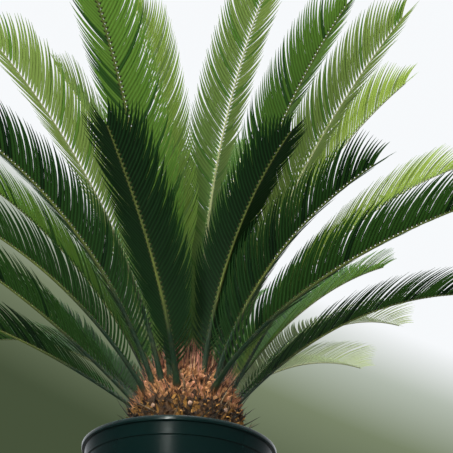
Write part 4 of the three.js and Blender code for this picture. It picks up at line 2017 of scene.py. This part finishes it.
@dataclass(frozen=True)
class Lamp:
    """A soft rectangular lamp, with the point that it faces and its width and height.

    Its power is in watts, and the spread of its beam in degrees.
    """

    name: str
    place: Point
    target: Point
    size: Pair
    power: float
    colour: Colour
    spread: float = 180.0

    def hang(self) -> None:
        """Adds the lamp to the scene."""
        data = bpy.data.lights.new(self.name, "AREA")
        data.shape = "RECTANGLE"
        data.size, data.size_y = self.size
        data.energy = self.power
        data.color = self.colour
        data.spread = math.radians(self.spread)
        lamp = bpy.data.objects.new(self.name, data)
        aim = (Vector(self.target) - Vector(self.place)).to_track_quat("-Z", "Y")
        lamp.matrix_world = Matrix.Translation(self.place) @ aim.to_matrix().to_4x4()
        bpy.context.scene.collection.objects.link(lamp)


LAMPS = (
    Lamp("roof", (-0.3, -0.5, 3.6), (0.0, 0.0, 0.9), (3.2, 2.6), 190.0, (1.0, 0.99, 0.96)),
    Lamp("window", (-0.72, -2.95, 0.8), (0.0, 0.0, 0.4), (0.07, 1.8), 36.0, (0.93, 1.0, 0.94)),
    Lamp("gap", (-0.5, -1.9, 0.35), (0.0, -0.1, 0.46), (0.25, 0.25), 0.20, (1.0, 0.97, 0.90), 20.0),
)


@dataclass
class Studio:
    """The camera below the plant, a dark plinth and floor, a plain backdrop and soft light."""

    camera_place: Point = (0.0, -2.2496, -0.4637)
    pitch: float = 30.3
    roll: float = 1.8
    yaw: float = 2.0
    lens: float = 95.36
    sensor: float = 36.0
    camera_reach: float = 60.0
    plinth_radius: float = 0.62
    plinth_edge: float = 0.006
    floor_level: float = -0.90
    floor_radius: float = 9.0
    stage_sides: int = 128
    backdrop_slant: float = 0.39
    backdrop_stops: Stops = (
        (0.33, (0.060, 0.082, 0.042)),
        (0.41, (0.19, 0.23, 0.14)),
        (0.455, (0.45, 0.50, 0.43)),
        (0.495, (0.93, 0.95, 0.97)),
    )
    sky_lean: float = 0.10
    sky_strength: float = 1.65
    sky_stops: Stops = (
        (0.00, (0.02, 0.02, 0.02)),
        (0.42, (0.035, 0.038, 0.040)),
        (0.56, (0.16, 0.17, 0.18)),
        (0.72, (0.72, 0.75, 0.78)),
        (1.00, (1.0, 1.0, 1.0)),
    )

    def camera(self) -> None:
        """The camera, which looks up at the plant from below its pot."""
        pitch, roll, yaw = (math.radians(a) for a in (self.pitch, self.roll, self.yaw))
        forward = Vector(
            (math.sin(yaw) * math.cos(pitch), math.cos(yaw) * math.cos(pitch), math.sin(pitch))
        )
        level = Vector((math.cos(yaw), -math.sin(yaw), 0.0))
        up = level.cross(forward)
        right = math.cos(roll) * level + math.sin(roll) * up
        top = math.cos(roll) * up - math.sin(roll) * level
        turn = Matrix((right, top, -forward)).transposed()
        data = bpy.data.cameras.new("camera")
        data.lens = self.lens
        data.sensor_width = self.sensor
        data.clip_end = self.camera_reach
        camera = bpy.data.objects.new("camera", data)
        camera.matrix_world = Matrix.Translation(self.camera_place) @ turn.to_4x4()
        bpy.context.scene.collection.objects.link(camera)
        bpy.context.scene.camera = camera

    def stage(self) -> None:
        """A round plinth under the pot, and a wide floor."""
        plinth = Bench.primitive(
            bpy.ops.mesh.primitive_cylinder_add,
            vertices=self.stage_sides,
            radius=self.plinth_radius,
            depth=-self.floor_level,
            location=(0.0, 0.0, self.floor_level / 2),
        )
        plinth.modify("BEVEL", width=self.plinth_edge, segments=4, limit_method="ANGLE")
        floor = Bench.primitive(
            bpy.ops.mesh.primitive_circle_add,
            vertices=self.stage_sides,
            radius=self.floor_radius,
            fill_type="NGON",
            location=(0.0, 0.0, self.floor_level),
        )
        card = StudioCard("studio_card", (0.085, 0.090, 0.085)).material()
        plinth.finish("plinth", [card])
        floor.finish("floor", [card])

    def sky_light(self) -> None:
        """A sky that lights the plant from above and behind, and the backdrop that is seen.

        The backdrop is pale, and darkens downwards, most at its lower left.
        """
        world = bpy.data.worlds.new("sky")
        world.use_nodes = True
        bpy.context.scene.world = world
        graph = Graph(world.node_tree)
        direction = graph.node("ShaderNodeTexCoord").outputs["Generated"]
        height = graph.axis(direction, 2) + graph.axis(direction, 1) * self.sky_lean
        light = graph.ramp(height * 0.5 + 0.5, self.sky_stops)
        glow = graph.node("ShaderNodeBackground", inputs={0: light, 1: self.sky_strength})
        slanted = graph.axis(direction, 2) + graph.axis(direction, 0) * self.backdrop_slant
        backdrop = graph.ramp(slanted, self.backdrop_stops)
        seen = graph.node("ShaderNodeBackground", inputs={0: backdrop})
        ray = graph.node("ShaderNodeLightPath").outputs["Is Camera Ray"]
        inputs = {0: ray, 1: glow.outputs[0], 2: seen.outputs[0]}
        both = graph.node("ShaderNodeMixShader", inputs=inputs)
        graph.node("ShaderNodeOutputWorld", inputs={0: both.outputs[0]})

    def build(self) -> None:
        """Camera, stage and light."""
        self.camera()
        self.stage()
        self.sky_light()
        for lamp in LAMPS:
            lamp.hang()
        bpy.context.scene.view_settings.view_transform = "Standard"


def main() -> None:
    """Builds the studio and the plant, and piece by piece."""
    logging.basicConfig(level=logging.INFO, format="%(message)s")
    shape = CaudexShape()
    rings = {
        ring: [FrondLine(frond, shape) for frond in fronds] for ring, fronds in RINGS.items()
    }
    Studio().build()
    NurseryPot().build()
    PottingBed(shape).build()
    Caudex(shape, [line for lines in rings.values() for line in lines]).build()
    Crown(rings).build()


if __name__ == "__main__":
    main()
